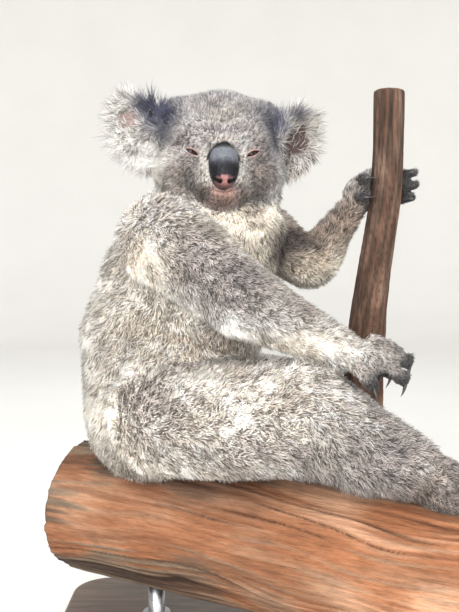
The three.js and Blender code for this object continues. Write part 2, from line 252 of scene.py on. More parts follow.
def newMaterial(name, rough=0.6, specular=0.5, sheen=0.0, glaze=0.0, glazeRough=0.1, metal=0.0):
    material = bpy.data.materials.new(name)
    material.use_nodes = True
    shader = material.node_tree.nodes["Principled BSDF"]
    values = {
        "Roughness": rough, "Specular IOR Level": specular, "Sheen Weight": sheen, "Sheen Roughness": 0.45,
        "Coat Weight": glaze, "Coat Roughness": glazeRough, "Metallic": metal,
    }
    for key, value in values.items():
        shader.inputs[key].default_value = value
    return material, material.node_tree, shader


def addNode(tree, kind, sockets=None, **values):  # a socket takes a link or a value
    node = tree.nodes.new(kind)
    for key, value in values.items():
        setattr(node, key, value)
    for key, value in (sockets or {}).items():
        if isinstance(value, bpy.types.NodeSocket):
            tree.links.new(value, node.inputs[key])
        else:
            node.inputs[key].default_value = value
    return node


def noiseNode(tree, vector, scale, detail=3.0, rough=0.5, distort=0.0):
    sockets = {"Vector": vector, "Scale": scale, "Detail": detail, "Roughness": rough, "Distortion": distort}
    return addNode(tree, "ShaderNodeTexNoise", sockets).outputs["Fac"]


def mapped(tree, vector, **sockets):  # by its Location, Rotation or Scale
    return addNode(tree, "ShaderNodeMapping", {"Vector": vector, **sockets}).outputs["Vector"]


def objectPlaces(tree):
    return addNode(tree, "ShaderNodeTexCoord").outputs["Object"]


def ramp(tree, value, stops):
    node = addNode(tree, "ShaderNodeValToRGB", {"Fac": value})
    while len(node.color_ramp.elements) < len(stops):
        node.color_ramp.elements.new(0.5)
    for element, (place, colour) in zip(node.color_ramp.elements, stops):
        element.position = place
        element.color = (*linear(colour), 1)
    return node.outputs["Color"]


def rescaled(tree, value, low, high, fromLow=0.3, fromHigh=0.7):
    sockets = {"Value": value, "From Min": fromLow, "From Max": fromHigh, "To Min": low, "To Max": high}
    return addNode(tree, "ShaderNodeMapRange", sockets).outputs["Result"]


def blended(tree, first, second, factor, mode="MIX"):
    sockets = {"Factor": factor, "A": first, "B": second}
    return addNode(tree, "ShaderNodeMix", sockets, data_type="RGBA", blend_type=mode).outputs["Result"]


def paintedColour(tree, name="paint"):
    return addNode(tree, "ShaderNodeVertexColor", layer_name=name).outputs["Color"]


def shadedPaint(tree, shade):  # the painted colour times a factor
    return blended(tree, paintedColour(tree), shade, 1.0, "MULTIPLY")


def setLook(tree, shader, colour, rough):
    tree.links.new(colour, shader.inputs["Base Color"])
    tree.links.new(rough, shader.inputs["Roughness"])


def addBump(tree, shader, height, distance, strength):  # on top of the bumps that are there already
    node = addNode(tree, "ShaderNodeBump", {"Distance": distance, "Strength": strength, "Height": height})
    last = shader.inputs["Normal"].links
    if last:
        tree.links.new(last[0].from_socket, node.inputs["Normal"])
    tree.links.new(node.outputs["Normal"], shader.inputs["Normal"])


def growthRings(tree, vector, axis, fineness):  # pale and dark rings of a cut end, as a factor
    sockets = {"Vector": vector, "Scale": fineness, "Distortion": 2.6, "Detail": 3, "Detail Scale": 0.35}
    node = addNode(tree, "ShaderNodeTexWave", sockets, wave_type="RINGS", rings_direction=axis)
    return rescaled(tree, node.outputs["Fac"], 0.78, 1.08, 0.1, 0.9)


def coatMaterial():
    material, tree, shader = newMaterial("coatHair", specular=0.22, sheen=0.15)
    where = objectPlaces(tree)
    fleck = rescaled(tree, noiseNode(tree, where, 900, 2), 0.82, 1.12)
    rough = rescaled(tree, noiseNode(tree, where, 160, 2), 0.62, 0.9)
    setLook(tree, shader, shadedPaint(tree, fleck), rough)
    return material


def skinMaterial():
    material, tree, shader = newMaterial("hide", specular=0.3)
    where = objectPlaces(tree)
    grain = noiseNode(tree, where, 700, 4, 0.6)
    rough = rescaled(tree, noiseNode(tree, where, 220, 3), 0.5, 0.85)
    setLook(tree, shader, shadedPaint(tree, rescaled(tree, grain, 0.75, 1.18)), rough)
    addBump(tree, shader, grain, 0.0006, 0.6)
    addBump(tree, shader, noiseNode(tree, where, 260, 3), 0.0008, 0.5)
    return material


cameraPlace = {"at": (-0.045, -0.950, 0.466), "down": 4.0, "lens": 49.0, "sensor": 36, "nearest": 0.05}


def makeCamera():
    lens = bpy.data.cameras.new("camera")
    lens.lens = cameraPlace["lens"]
    lens.sensor_width = cameraPlace["sensor"]
    lens.clip_start = cameraPlace["nearest"]
    camera = newObject("camera", lens)
    camera.location = cameraPlace["at"]
    camera.rotation_euler = (math.radians(90 - cameraPlace["down"]), 0, 0)
    bpy.context.scene.camera = camera


studio = {
    "floorColour": (0.86, 0.855, 0.84),
    "floorShade": 0.985,  # of the floor's darker places
    "flat": 3.0,  # radius of the level floor
    "bend": 1.5,  # radius of the sweep up to the wall
    "bendSteps": 12,
    "wall": 5.5,
    "sky": (0.975, 0.985, 1),
    "skyPower": 0.82,
    "aim": (0, 0, 0.4),  # where the lamps point
    "lamps": {
        "key": {"at": (-0.95, -2.85, 1.65), "size": 2.2, "power": 176},
        "fill": {"at": (2.3, -2.0, 1.1), "size": 2.4, "power": 60},
        "top": {"at": (-0.2, 0.7, 3.2), "size": 2.6, "power": 42},
        "bounce": {"at": (0.1, -2.4, 0.15), "size": 1.8, "power": 34},
    },
}


def makeFloor():
    flat, bend, steps = studio["flat"], studio["bend"], studio["bendSteps"]
    profile = [(0.0001, 0), (flat, 0)]
    for step in range(1, steps + 1):
        angle = math.radians(90 * step / steps)
        profile.append((flat + bend * math.sin(angle), bend * (1 - math.cos(angle))))
    profile.append((flat + bend, studio["wall"]))
    turns = roundTurns(96)
    mesh = gridShell("floor", [ringAt(turns, radius, height) for radius, height in profile], closed=False)
    if mesh.polygons[0].normal.z < 0:
        mesh.flip_normals()
    mesh.polygons.foreach_set("use_smooth", np.full(len(mesh.polygons), True))
    material, tree, shader = newMaterial("floorPaper", rough=0.9, specular=0.2)
    darker = [channel * studio["floorShade"] for channel in studio["floorColour"]]
    tone = noiseNode(tree, objectPlaces(tree), 3, 2)
    colour = ramp(tree, tone, [(0.3, studio["floorColour"]), (0.7, darker)])
    tree.links.new(colour, shader.inputs["Base Color"])
    mesh.materials.append(material)
    floor = newObject("floor", mesh)


def makeLamps():
    for name, values in studio["lamps"].items():
        light = bpy.data.lights.new(name, "AREA")
        light.energy = values["power"]
        light.size = values["size"]
        lamp = newObject(name, light)
        lamp.location = values["at"]
        aim = Vector(studio["aim"]) - Vector(values["at"])
        lamp.rotation_euler = aim.to_track_quat("-Z", "Y").to_euler()


def makeSky():
    world = bpy.data.worlds.new("studio")
    world.use_nodes = True
    background = world.node_tree.nodes["Background"]
    background.inputs["Color"].default_value = (*studio["sky"], 1)
    background.inputs["Strength"].default_value = studio["skyPower"]
    bpy.context.scene.world = world
    bpy.context.scene.view_settings.view_transform = "Standard"


makeCamera()
makeFloor()
makeLamps()
makeSky()
print("studio ready")

# The head's own frame, in millimetres, with the face towards -Y.
headPlace = {"at": (-0.0555, -0.025, 0.575), "turn": (-6, 1, 4.5)}  # metres and degrees
headTurn = np.array(Euler([math.radians(a) for a in headPlace["turn"]]).to_matrix())
earPlaces = {  # in the head's frame: middle, half size of the bare ear, and turns about Y and Z
    "right": {"at": (-88, 14, 20), "half": (29, 40), "turn": (-25, -8), "side": -1},
    "left": {"at": (86.5, 16, 12), "half": (25, 36), "turn": (14, 22), "side": 1},
}
earForm = {"bow": 11, "thick": 2.8, "steps": 14, "points": 48}  # millimetres


def inHead(places):
    return (places - np.array(headPlace["at"])) @ headTurn / mm


def fromHead(places):
    return np.asarray(places) * mm @ headTurn.T + np.array(headPlace["at"])


def earTurn(ear):  # first about Z, then about Y
    y, z = (math.radians(a) for a in ear["turn"])
    return np.array(Matrix.Rotation(y, 3, "Y") @ Matrix.Rotation(z, 3, "Z"))


def inEar(places, ear):  # millimetres, with the ear's face towards -Y
    return (inHead(places) - np.array(ear["at"])) @ earTurn(ear)


def earBow(radius):  # how far the dish lies behind its rim
    return earForm["bow"] * (1 - radius**2)


def earMesh(ear):  # a thin dish
    wide, high = ear["half"]
    steps = earForm["steps"]
    turns = roundTurns(earForm["points"])
    rings = []
    for side in (-1, 1):  # the front from its middle to the rim, then the back
        for k in range(1, steps):
            radius = math.sin(0.5 * math.pi * (k if side < 0 else steps - k) / steps)
            thick = earForm["thick"] * math.sqrt(max(1 - radius**4, 0.02))
            x = radius * wide * np.cos(turns)
            z = radius * high * np.sin(turns)
            y = np.full_like(x, earBow(radius) + side * thick)
            rings.append(fromHead(np.stack([x, y, z], 1) @ earTurn(ear).T + np.array(ear["at"])))
    return gridShell("ear", rings)


skinShape = {
    "grow": 0.6 * mm,  # closes the gaps between the solids
    "firstVoxel": 2.9 * mm,
    "voxel": 2.95 * mm,
    "rounds": 34,  # of smoothing
}
depths = {  # how far the skin lies inside the tips of the coat, in millimetres
    "neck": 9, "trunk": 9.5, "upper_arm": 8.5, "forearm": 7, "thigh": 9, "shank": 8, "hand": 1.4, "foot": 2.2,
}
headDepths = (6.0, 2.9)  # the same, on the crown and cheeks, and on the muzzle
softness = {"head": 0.55, "hand": 0.08, "foot": 0.16}  # of the smoothing, elsewhere 1
digitForm = {"radius": 4.9, "half": 9, "back": 7.5, "points": 24, "rings": 14}  # in millimetres


def plainName(node):
    return node.replace("_right", "").replace("_left", "")


def nearestNodes():  # finds the CAD node that a place is nearest to
    corners, faces, owners = [], [], []
    for node in flesh:
        mesh = frame["nodes"][node].data
        start = len(corners)
        corners.extend(v.co.copy() for v in mesh.vertices)
        faces.extend([start + k for k in face.vertices] for face in mesh.polygons)
        owners.extend([node] * len(mesh.polygons))
    tree = BVHTree.FromPolygons(corners, faces)
    return lambda places: np.array([owners[tree.find_nearest(Vector(p))[2]] for p in places])


nodeNearest = nearestNodes()
clawNodes = [node for node in frame["nodes"] if node.startswith("claw_")]


def clawOwner(node):
    return node.replace("claw_", "")[:-2]


def clawLine(node):  # the middle of a claw's root, its tip, and the way it points, in millimetres
    places = readVectors(mergedCopy([node]).vertices) / mm
    middle = places.mean(0)
    run = (places - middle) @ np.linalg.svd(places - middle)[2][0]
    digit = frame["nodes"][clawOwner(node)].data
    tree = BVHTree.FromPolygons([v.co for v in digit.vertices], [face.vertices for face in digit.polygons])
    first, last = (tree.find_nearest(Vector(places[k] * mm))[3] for k in (run.argmin(), run.argmax()))
    if first > last:  # the root is the end that lies nearer to the digit
        run = -run
    root = places[run < np.quantile(run, 0.25)].mean(0)
    tip = places[run.argmax()]
    return root, tip, unit(tip - root)


clawLines = {node: clawLine(node) for node in clawNodes}


def digitEnd(node):  # the rounded flesh that a claw grows from
    root, _, axis = clawLines[node]
    turn = np.array(Vector(axis).to_track_quat("Z", "Y").to_matrix())
    turns = roundTurns(digitForm["points"])
    rings = []
    for polar in np.linspace(0.06, math.pi - 0.06, digitForm["rings"]):
        ring = ringAt(turns, digitForm["radius"] * np.sin(polar), -digitForm["half"] * math.cos(polar))
        rings.append((ring @ turn.T + root - digitForm["back"] * axis) * mm)
    return gridShell("digit", rings)


def byNode(names, table, default=1.0):
    values = {name: table.get(name, table.get(plainName(name), default)) for name in set(names)}
    return np.array([values[name] for name in names], float)


def faceShare(local):  # 1 on the muzzle and round the eyes, 0 on the crown and cheeks
    return ease(-local[:, 1], 8, 42) * ease(local[:, 2], 40, 16)


def makeSkinForm():
    solids = mergedCopy([*flesh, "eye_right", "eye_left"], skinShape["grow"])
    body = remeshed(solids, skinShape["firstVoxel"])
    places, edges = readVectors(body.vertices), readEdges(body)
    names = nodeNearest(places)
    soft = evened(byNode(names, softness), edges, 6)
    places = relaxed(places, edges, skinShape["rounds"], 0.62 * soft, restore=0.92)
    writePlaces(body, places)
    depth = byNode(names, depths)
    onHead = names == "head"
    depth[onHead] = mix(*headDepths, faceShare(inHead(places)[onHead]))
    depth = evened(depth, edges, 10)
    normals = unit(relaxed(readVectors(body.vertices, "normal"), edges, 4))
    writePlaces(body, places - normals * depth[:, None] * mm)
    ears = [earMesh(ear) for ear in earPlaces.values()]
    whole = remeshed(joinedMeshes([body, *ears, *map(digitEnd, clawNodes)]), skinShape["voxel"])
    places, edges = readVectors(whole.vertices), readEdges(whole)
    writePlaces(whole, relaxed(places, edges, 5, restore=0.95))
    return whole


skinMesh = makeSkinForm()
print("skin joined:", len(skinMesh.polygons), "faces")

# The face: lids, muzzle, mouth and chin, in millimetres of the head's frame.
faceForm = {
    "eye": (32, -34, -14),
    "eyeRadius": 9.5,
    "lidThick": 1.2,
    "lidSteep": 0.78,  # past this share of the lid's radius it runs straight down to the cheek
    "slitWide": 14.0,
    "slitHigh": 3.7,
    "slitDrop": 0.4,
    "slitDepth": 5.2,
    "slitTilt": 25,  # degrees that the slit falls towards the nose
    "mouthLow": -58.5,
    "mouthRise": 3,
    "mouthHalf": 11,
    "groove": (21, 0.22, -52),  # beside the chin: half distance, slope, and the height they hold at
    "lip": {"at": (15.5, -57, -43), "half": (9, 22, 11), "full": 3.2},  # the pads beside the nose
    "chin": {"at": (0, -55, -67), "half": (15, 20, 6), "full": 1.8},
}
folds = {  # height and width of each line of the face
    "socket": (1.6, 5), "lidRim": (0.7, 0.9), "crease": (0.9, 0.9), "underLid": (0.7, 0.8),
    "mouth": (0.9, 1.2), "lowerLip": (0.7, 2.4), "groove": (2.2, 1.9),
}
finer = {  # where the faces are made finer: half width, back limit, and lower and upper limits
    "face": (48, -14, -78, 10),
    "mouth": (30, -18, -76, -38),
    "eye": (15, 13),  # half width and half height round each eye
}


def fold(name, distance):
    height, width = folds[name]
    return height * band(distance, width)


def divideFace(mesh, inside):  # makes the faces finer where inside says so
    form = bmesh.new()
    form.from_mesh(mesh)
    keep = inside(inHead(np.array([v.co for v in form.verts])))
    form.verts.ensure_lookup_table()
    edges = [e for e in form.edges if keep[e.verts[0].index] and keep[e.verts[1].index]]
    bmesh.ops.subdivide_edges(form, edges=edges, cuts=1, use_grid_fill=True)
    form.to_mesh(mesh)
    form.free()


def nearFace(local, part="face"):
    x, y, z = local.T
    half, front, low, high = finer[part]
    return (abs(x) < half) & (y < front) & (z > low) & (z < high)


def nearFeatures(local):
    x, y, z = local.T
    eyeOut, _, eyeHigh = faceForm["eye"]
    wide, tall = finer["eye"]
    eyes = (abs(abs(x) - eyeOut) < wide) & (abs(z - eyeHigh) < tall) & (y < finer["mouth"][1])
    return eyes | nearFace(local, "mouth")


def eyeFrame(local, side):  # along the slit outwards, and up across it
    x, _, z = faceForm["eye"]
    tilt = math.radians(faceForm["slitTilt"])
    across = (local[:, 0] - x * side) * side
    rise = local[:, 2] - z
    return across * math.cos(tilt) + rise * math.sin(tilt), rise * math.cos(tilt) - across * math.sin(tilt)


def slitEdge(along, up):  # how far inside the slit a place is, negative outside
    half = faceForm["slitWide"] / 2
    return faceForm["slitHigh"] / 2 * (1 - (along / half) ** 2) - abs(up + faceForm["slitDrop"])


def mouthLine(x):
    return faceForm["mouthLow"] + faceForm["mouthRise"] * (abs(x) / faceForm["mouthHalf"]) ** 1.7


def grooveDistance(local):  # from the line that runs down from each corner of the mouth
    x, z = abs(local[:, 0]), local[:, 2]
    half, slope, level = faceForm["groove"]
    return x - (half - slope * (level - z)), ease(z, -74, -66) * ease(z, -46, -52)


def swelling(local, part, side=1):
    x, y, z = part["at"]
    return part["full"] * blob(local, (x * side, y, z), part["half"])


def lidSurface(depth, away, radius):  # the face's depth, drawn out over the eyeball
    bent = np.minimum(away, faceForm["lidSteep"] * radius)
    lid = faceForm["eye"][1] - np.sqrt(radius**2 - bent**2) + 1.25 * (away - bent)
    soft = 5.0
    gap = np.clip(0.5 + 0.5 * (depth - lid) / soft, 0, 1)
    return mix(depth, lid, gap) - soft * gap * (1 - gap)


def shapeFace(mesh):
    divideFace(mesh, nearFace)
    divideFace(mesh, nearFeatures)
    places, edges = readVectors(mesh.vertices), readEdges(mesh)
    places = relaxed(places, edges, 8, 0.5 * nearFace(inHead(places)), restore=0.9)
    local = inHead(places)
    front = ease(-local[:, 1], 10, 22) * (local[:, 2] < 20)
    out = np.zeros(len(local))
    radius = faceForm["eyeRadius"] + faceForm["lidThick"]
    depth = local[:, 1].copy()
    for side in (-1, 1):
        along, up = eyeFrame(local, side)
        away = np.hypot(along, up)
        out -= fold("socket", away - 15) * front * (up > -30)
        inside = (away < 2.2 * radius) & (local[:, 1] < 0)
        depth = np.where(inside, np.minimum(depth, lidSurface(depth, away, radius)), depth)
        edge = slitEdge(along, up)
        onLid = front * (away < radius + 2)
        out += onLid * fold("lidRim", edge + 1.1)
        out -= onLid * faceForm["slitDepth"] * ease(edge, -0.35, 0.45)  # open between the lids
        out -= onLid * fold("crease", abs(up - 5.6 + (along / 9) ** 2)) * (abs(along) < 9)
        out -= onLid * fold("underLid", abs(up + 5.4 - (along / 10) ** 2)) * (abs(along) < 9)
    for side in (-1, 1):
        out += swelling(local, faceForm["lip"], side) * front
    out += swelling(local, faceForm["chin"]) * front
    line = local[:, 2] - mouthLine(local[:, 0])
    reach = ease(abs(local[:, 0]), faceForm["mouthHalf"] + 3, faceForm["mouthHalf"] - 3) * front
    out -= fold("mouth", line) * reach
    out += fold("lowerLip", line + 4) * reach
    across, length = grooveDistance(local)
    out -= fold("groove", across) * length * front
    local[:, 1] = depth - out
    writePlaces(mesh, fromHead(local))


shapeFace(skinMesh)
print("face shaped:", len(skinMesh.polygons), "faces")

# How the coat lies: one value of each kind for every corner of the skin.
lies = {  # the way the hair runs, from one joint to the next
    "trunk": (-60, 20, -232), "neck": (-6, -4, -40), "upper_arm_right": (85, -30, -62),
    "forearm_right": (97, -3, -47), "upper_arm_left": (55, -12, -41), "forearm_left": (52, 8, 68),
    "thigh_right": (149, -36, 6), "shank_right": (104, -12, -48), "thigh_left": (116, 8, 6),
    "shank_left": (14, -44, -48), "hand_right": (60, 6, -22), "hand_left": (30, 10, 50),
    "foot_right": (60, -6, -14), "foot_left": (10, -50, -10),
}
headLie = {  # on the head it runs away from two places, and sinks below the eyes
    "nose": (0, -66, -20), "brow": (0, -40, -10), "browShare": 0.3, "sink": (0, 0, -0.5),
}
coatTables = {  # length, width (mm), lift (degrees) and tufts to the square millimetre
    "length": {"trunk": 11.5, "neck": 13.5, "upper_arm": 9.5, "forearm": 9, "thigh": 11.5, "shank": 11,
               "hand": 5, "foot": 6},
    "width": {"trunk": 1.5, "neck": 1.3, "upper_arm": 1.15, "forearm": 1.12, "thigh": 1.5, "shank": 1.4,
              "hand": 1.0, "foot": 1.1},
    "lift": {"trunk": 38, "neck": 23, "upper_arm": 42, "forearm": 38, "thigh": 38, "shank": 37,
             "hand": 26, "foot": 26},
    "density": {"trunk": 0.53, "neck": 0.74, "upper_arm": 1.0, "forearm": 1.0, "thigh": 0.65, "shank": 0.70,
                "hand": 1.2, "foot": 1.0},
}
headCoat = {  # the same, on the crown and on the muzzle
    "length": (8.5, 4.6), "width": (1.0, 0.82), "lift": (40, 31), "density": (1.22, 1.9),
}
cheekLength = 12  # millimetres
earCoat = {  # lengths of the back, front and rim, lift and density from the hub to the rim, and width
    "back": 9, "front": 11, "rim": 21, "lift": (30, 20), "density": (0.95, 1.8), "width": 0.78,
}
noseOutline = {"high": -33, "half": (16.2, 24.3)}  # of the leather, in the head's frame
noseRim = {"length": 3.8, "lift": 38}  # the black hair that lies over the leather's edge
hangingFur = {  # long fur under the right shank, down to the limb: millimetres and degrees
    "where": ((54, -95, 220), (52, 45, 14)), "length": 19, "lift": 62,
}
tones = {  # tip and root
    "grey": ((0.93, 0.885, 0.845), (0.49, 0.445, 0.41)),
    "pale": ((0.965, 0.92, 0.87), (0.76, 0.70, 0.635)),
    "cream": ((0.97, 0.925, 0.865), (0.925, 0.855, 0.77)),
    "white": ((0.99, 0.98, 0.96), (0.95, 0.92, 0.88)),
    "dark": ((0.74, 0.70, 0.68), (0.25, 0.235, 0.23)),
    "brown": ((0.67, 0.60, 0.545), (0.30, 0.245, 0.21)),
    "tan": ((0.93, 0.87, 0.79), (0.68, 0.60, 0.51)),
    "blueBlack": ((0.22, 0.23, 0.32), (0.06, 0.06, 0.11)),
    "umber": ((0.50, 0.42, 0.36), (0.17, 0.135, 0.11)),
    # The next tone, a shaded grey, is painted shade: it darkens the far arm, which lies in shadow, and a foot
    # low at the right.
    "deep": ((0.49, 0.44, 0.41), (0.14, 0.125, 0.12)),
    "pink": ((0.70, 0.57, 0.525), (0.62, 0.495, 0.45)),
    "ruff": ((0.99, 0.955, 0.91), (0.97, 0.91, 0.85)),
    "fringe": ((0.94, 0.92, 0.89), (0.74, 0.71, 0.67)),
    "black": ((0.16, 0.155, 0.16), (0.05, 0.05, 0.055)),
    "head": ((0.80, 0.77, 0.765), (0.27, 0.25, 0.25)),
    "paw": ((0.78, 0.75, 0.73), (0.28, 0.26, 0.25)),
    "inky": ((0.24, 0.23, 0.235), (0.07, 0.07, 0.07)),
}
baseTones = {"trunk": "pale", "thigh": "pale"}  # elsewhere grey
bodyMarks = [  # tone, share, middle and half sizes in millimetres
    ("pale", 0.65, (-215, 0, 330), (60, 120, 90)),
    ("pale", 0.4, (-190, -20, 430), (45, 110, 70)),
    ("cream", 0.6, (-165, -40, 262), (70, 100, 66)),
    ("tan", 0.5, (-150, -20, 208), (70, 110, 22)),
    ("cream", 0.95, (-30, -40, 470), (62, 75, 58)),
    ("cream", 0.6, (-40, 10, 400), (80, 80, 70)),
    ("cream", 1.0, (-12, -40, 480), (46, 75, 52)),
    ("cream", 1.0, (12, -30, 424), (36, 70, 58)),
    ("cream", 0.95, (28, -40, 416), (30, 60, 44)),
    ("cream", 0.9, (-18, -60, 492), (44, 60, 26)),
    # Painted shade: brown in the gap between the near arm and the thigh.
    ("brown", 0.5, (-55, -60, 367), (50, 40, 22)),
    ("pale", 0.55, (-87, -60, 519), (60, 40, 12)),
    ("dark", 0.95, (-58, -118, 444), (58, 44, 31)),
    ("dark", 0.45, (-100, -110, 470), (40, 40, 26)),
    ("cream", 0.95, (-132, -95, 444), (26, 50, 36)),
    ("white", 1.0, (-100, -105, 410), (50, 50, 17)),
    ("white", 0.9, (-66, -112, 396), (44, 50, 14)),
    ("white", 0.9, (-34, -112, 386), (52, 50, 14)),
    ("cream", 0.9, (20, -112, 369), (62, 40, 13)),
    ("dark", 0.7, (-46, -118, 422), (38, 44, 20)),
    ("dark", 0.5, (10, -118, 405), (50, 40, 18)),
    ("tan", 0.5, (-118, -60, 398), (44, 60, 32)),
    ("pale", 0.6, (72, -110, 362), (24, 40, 26)),
    ("pale", 0.75, (-30, -130, 322), (80, 60, 28)),
    ("cream", 0.2, (-60, -135, 300), (52, 60, 30)),
    ("dark", 0.5, (-128, -120, 300), (30, 60, 34)),
    ("dark", 0.5, (-36, -130, 256), (60, 50, 18)),
    ("dark", 0.75, (96, -120, 254), (40, 50, 30)),
    ("dark", 0.55, (134, -128, 250), (26, 50, 22)),
    # A foot low at the right: darker fur, darkened further with painted shade.
    ("deep", 0.95, (184, -118, 204), (54, 60, 32)),
    ("dark", 0.5, (48, -110, 226), (60, 60, 14)),
    # The far arm lies in shadow: its darkest marks here are painted shade over its brown-grey fur.
    ("deep", 1.0, (26, 30, 470), (40, 50, 24)),
    ("black", 0.3, (26, 30, 470), (36, 50, 22)),
    ("brown", 1.0, (84, 50, 494), (38, 50, 25)),
    ("tan", 0.95, (66, 32, 447), (42, 60, 17)),
    ("tan", 0.6, (98, 40, 470), (24, 60, 14)),
    ("umber", 0.35, (84, 50, 492), (44, 50, 34)),
    # The same foot, darker still, partly as painted shade.
    ("umber", 0.8, (190, -118, 200), (50, 60, 34)),
]
headMarks = [  # the same, in the head's frame
    ("ruff", 1.0, (-67, -4, -34), (20, 50, 54)),
    ("ruff", 0.9, (-60, -10, -50), (17, 50, 22)),
    ("white", 0.9, (62, -10, -40), (11, 40, 34)),
    ("white", 1.0, (0, -14, -88), (70, 50, 17)),
    ("pale", 0.6, (4, -48, 24), (22, 40, 12)),
    ("dark", 0.85, (-42, -36, -1), (17, 30, 7)),
    ("dark", 0.85, (38, -36, 0), (14, 30, 8)),
    ("dark", 0.85, (-38, -38, -35), (18, 34, 13)),
    ("dark", 0.85, (40, -34, -38), (12, 34, 22)),
    ("brown", 0.3, (-38, -30, -56), (20, 30, 10)),
    ("umber", 0.22, (-38, -38, -34), (20, 34, 14)),
    ("umber", 0.3, (40, -34, -38), (14, 34, 24)),
    ("fringe", 0.85, (-20, -54, -22), (4, 24, 16)),
    ("fringe", 0.85, (21, -54, -22), (4, 24, 16)),
    ("fringe", 0.75, (-20, -52, -42), (8, 24, 9)),
    ("fringe", 0.75, (21, -52, -42), (8, 24, 9)),
    ("pink", 1.0, (0, -56, -64), (17, 26, 12)),
    ("pale", 0.6, (0, -56, -3), (14, 20, 4)),
    ("umber", 1.0, (-20, -48, -61), (4, 24, 10)),
    ("umber", 1.0, (23, -46, -64), (4.5, 24, 12)),
    ("blueBlack", 1.0, (-60, 2, 27), (14, 34, 21)),
    ("blueBlack", 1.0, (52, 3, 17), (12, 30, 22)),
]
earMarks = {  # the same, in each ear's frame, seen on the front of the ear
    "right": [
        ("fringe", 1.0, (0, 0, -4), (70, 30, 70)),
        ("blueBlack", 1.0, (26, 0, 12), (16, 18, 22)),
        ("blueBlack", 0.8, (19, 0, 25), (9, 14, 8)),
        ("blueBlack", 1.0, (31, 0, -3), (11, 18, 18)),
        ("fringe", 0.9, (12, 0, 42), (36, 16, 11)),
        ("white", 1.0, (0, 0, -34), (40, 16, 24)),
    ],
    "left": [
        ("fringe", 1.0, (0, 0, -4), (70, 30, 70)),
        ("dark", 0.8, (-6, 0, 37), (26, 16, 9)),
        ("blueBlack", 1.0, (-31, 6, 13), (12, 20, 24)),
        ("blueBlack", 0.8, (-17, 0, 27), (12, 16, 5)),
    ],
}
# Middle and half sizes of the bare skin, in each ear's frame.
bareEars = {"right": ((-5, 0, 16), (13, 14, 14)), "left": ((2, 0, -8), (18, 14, 36))}
bareTones = {
    "ear_right": (0.52, 0.45, 0.43),
    # The left ear's bare hollow is far darker than the right's: brown skin with painted shade in the hollow.
    "ear_left": (0.215, 0.155, 0.145),
    "lid": (0.56, 0.455, 0.43),
    "slit": (0.09, 0.06, 0.055),
    # The mouth's tone is painted shade in the crease under the nose, over the lip's pink.
    "mouth": (0.50, 0.37, 0.345),
    "underNose": (0.10, 0.10, 0.11),
}


def towards(hair, tone, share):  # tips and roots, moved towards a tone's or another coat's
    return [mix(old, new, share[:, None]) for old, new in zip(hair, tone)]


def markShare(places, where):  # 1 well inside an ellipsoid, with a soft edge
    return np.clip(1.5 * blob(places, *where), 0, 1)


def withMarks(hair, places, marks):
    for tone, share, *where in marks:
        hair = towards(hair, tones[tone], share * markShare(places, where))
    return hair


def onParts(names, *parts):
    return np.isin([plainName(name) for name in names], parts)


def hairTones(names, places, local, edges, toClaw):  # tips and roots, without the ears
    base = [tones[baseTones.get(plainName(name), "grey")] for name in names]
    hair = [relaxed(np.array([tone[end] for tone in base]), edges, 12) for end in (0, 1)]
    patchy = evened(onParts(names, "thigh", "shank", "trunk"), edges, 10)
    patches = ease(waves(places, 0.034, 13), 0.35, 1.6)
    hair = towards(hair, tones["dark"], 0.5 * patches * patchy)
    hair = withMarks(hair, places / mm, bodyMarks)
    hair = towards(hair, tones["paw"], 0.5 * evened(onParts(names, "hand", "foot"), edges, 6))
    hair = towards(hair, tones["inky"], 0.92 * ease(toClaw, 24, 8))
    return towards(hair, withMarks(tones["head"], local, headMarks), evened(names == "head", edges, 4))


def coatValues(names, local):  # length, width, lift and density, without the ears
    near = faceShare(local)
    head = {key: mix(*ends, near) for key, ends in headCoat.items()}
    cheek = ease(abs(local[:, 0]), 48, 66) * ease(-local[:, 2], -10, 20)
    head["length"] = mix(head["length"], cheekLength, cheek)
    body = {key: byNode(names, table) for key, table in coatTables.items()}
    return {key: np.where(names == "head", head[key], body[key]) for key in body}


def headFlow(local):
    flow = unit(local - np.array(headLie["nose"]))
    flow += unit(local - np.array(headLie["brow"])) * headLie["browShare"]
    flow += np.outer(ease(-local[:, 2], 10, 60), headLie["sink"])
    return unit(flow @ headTurn.T)


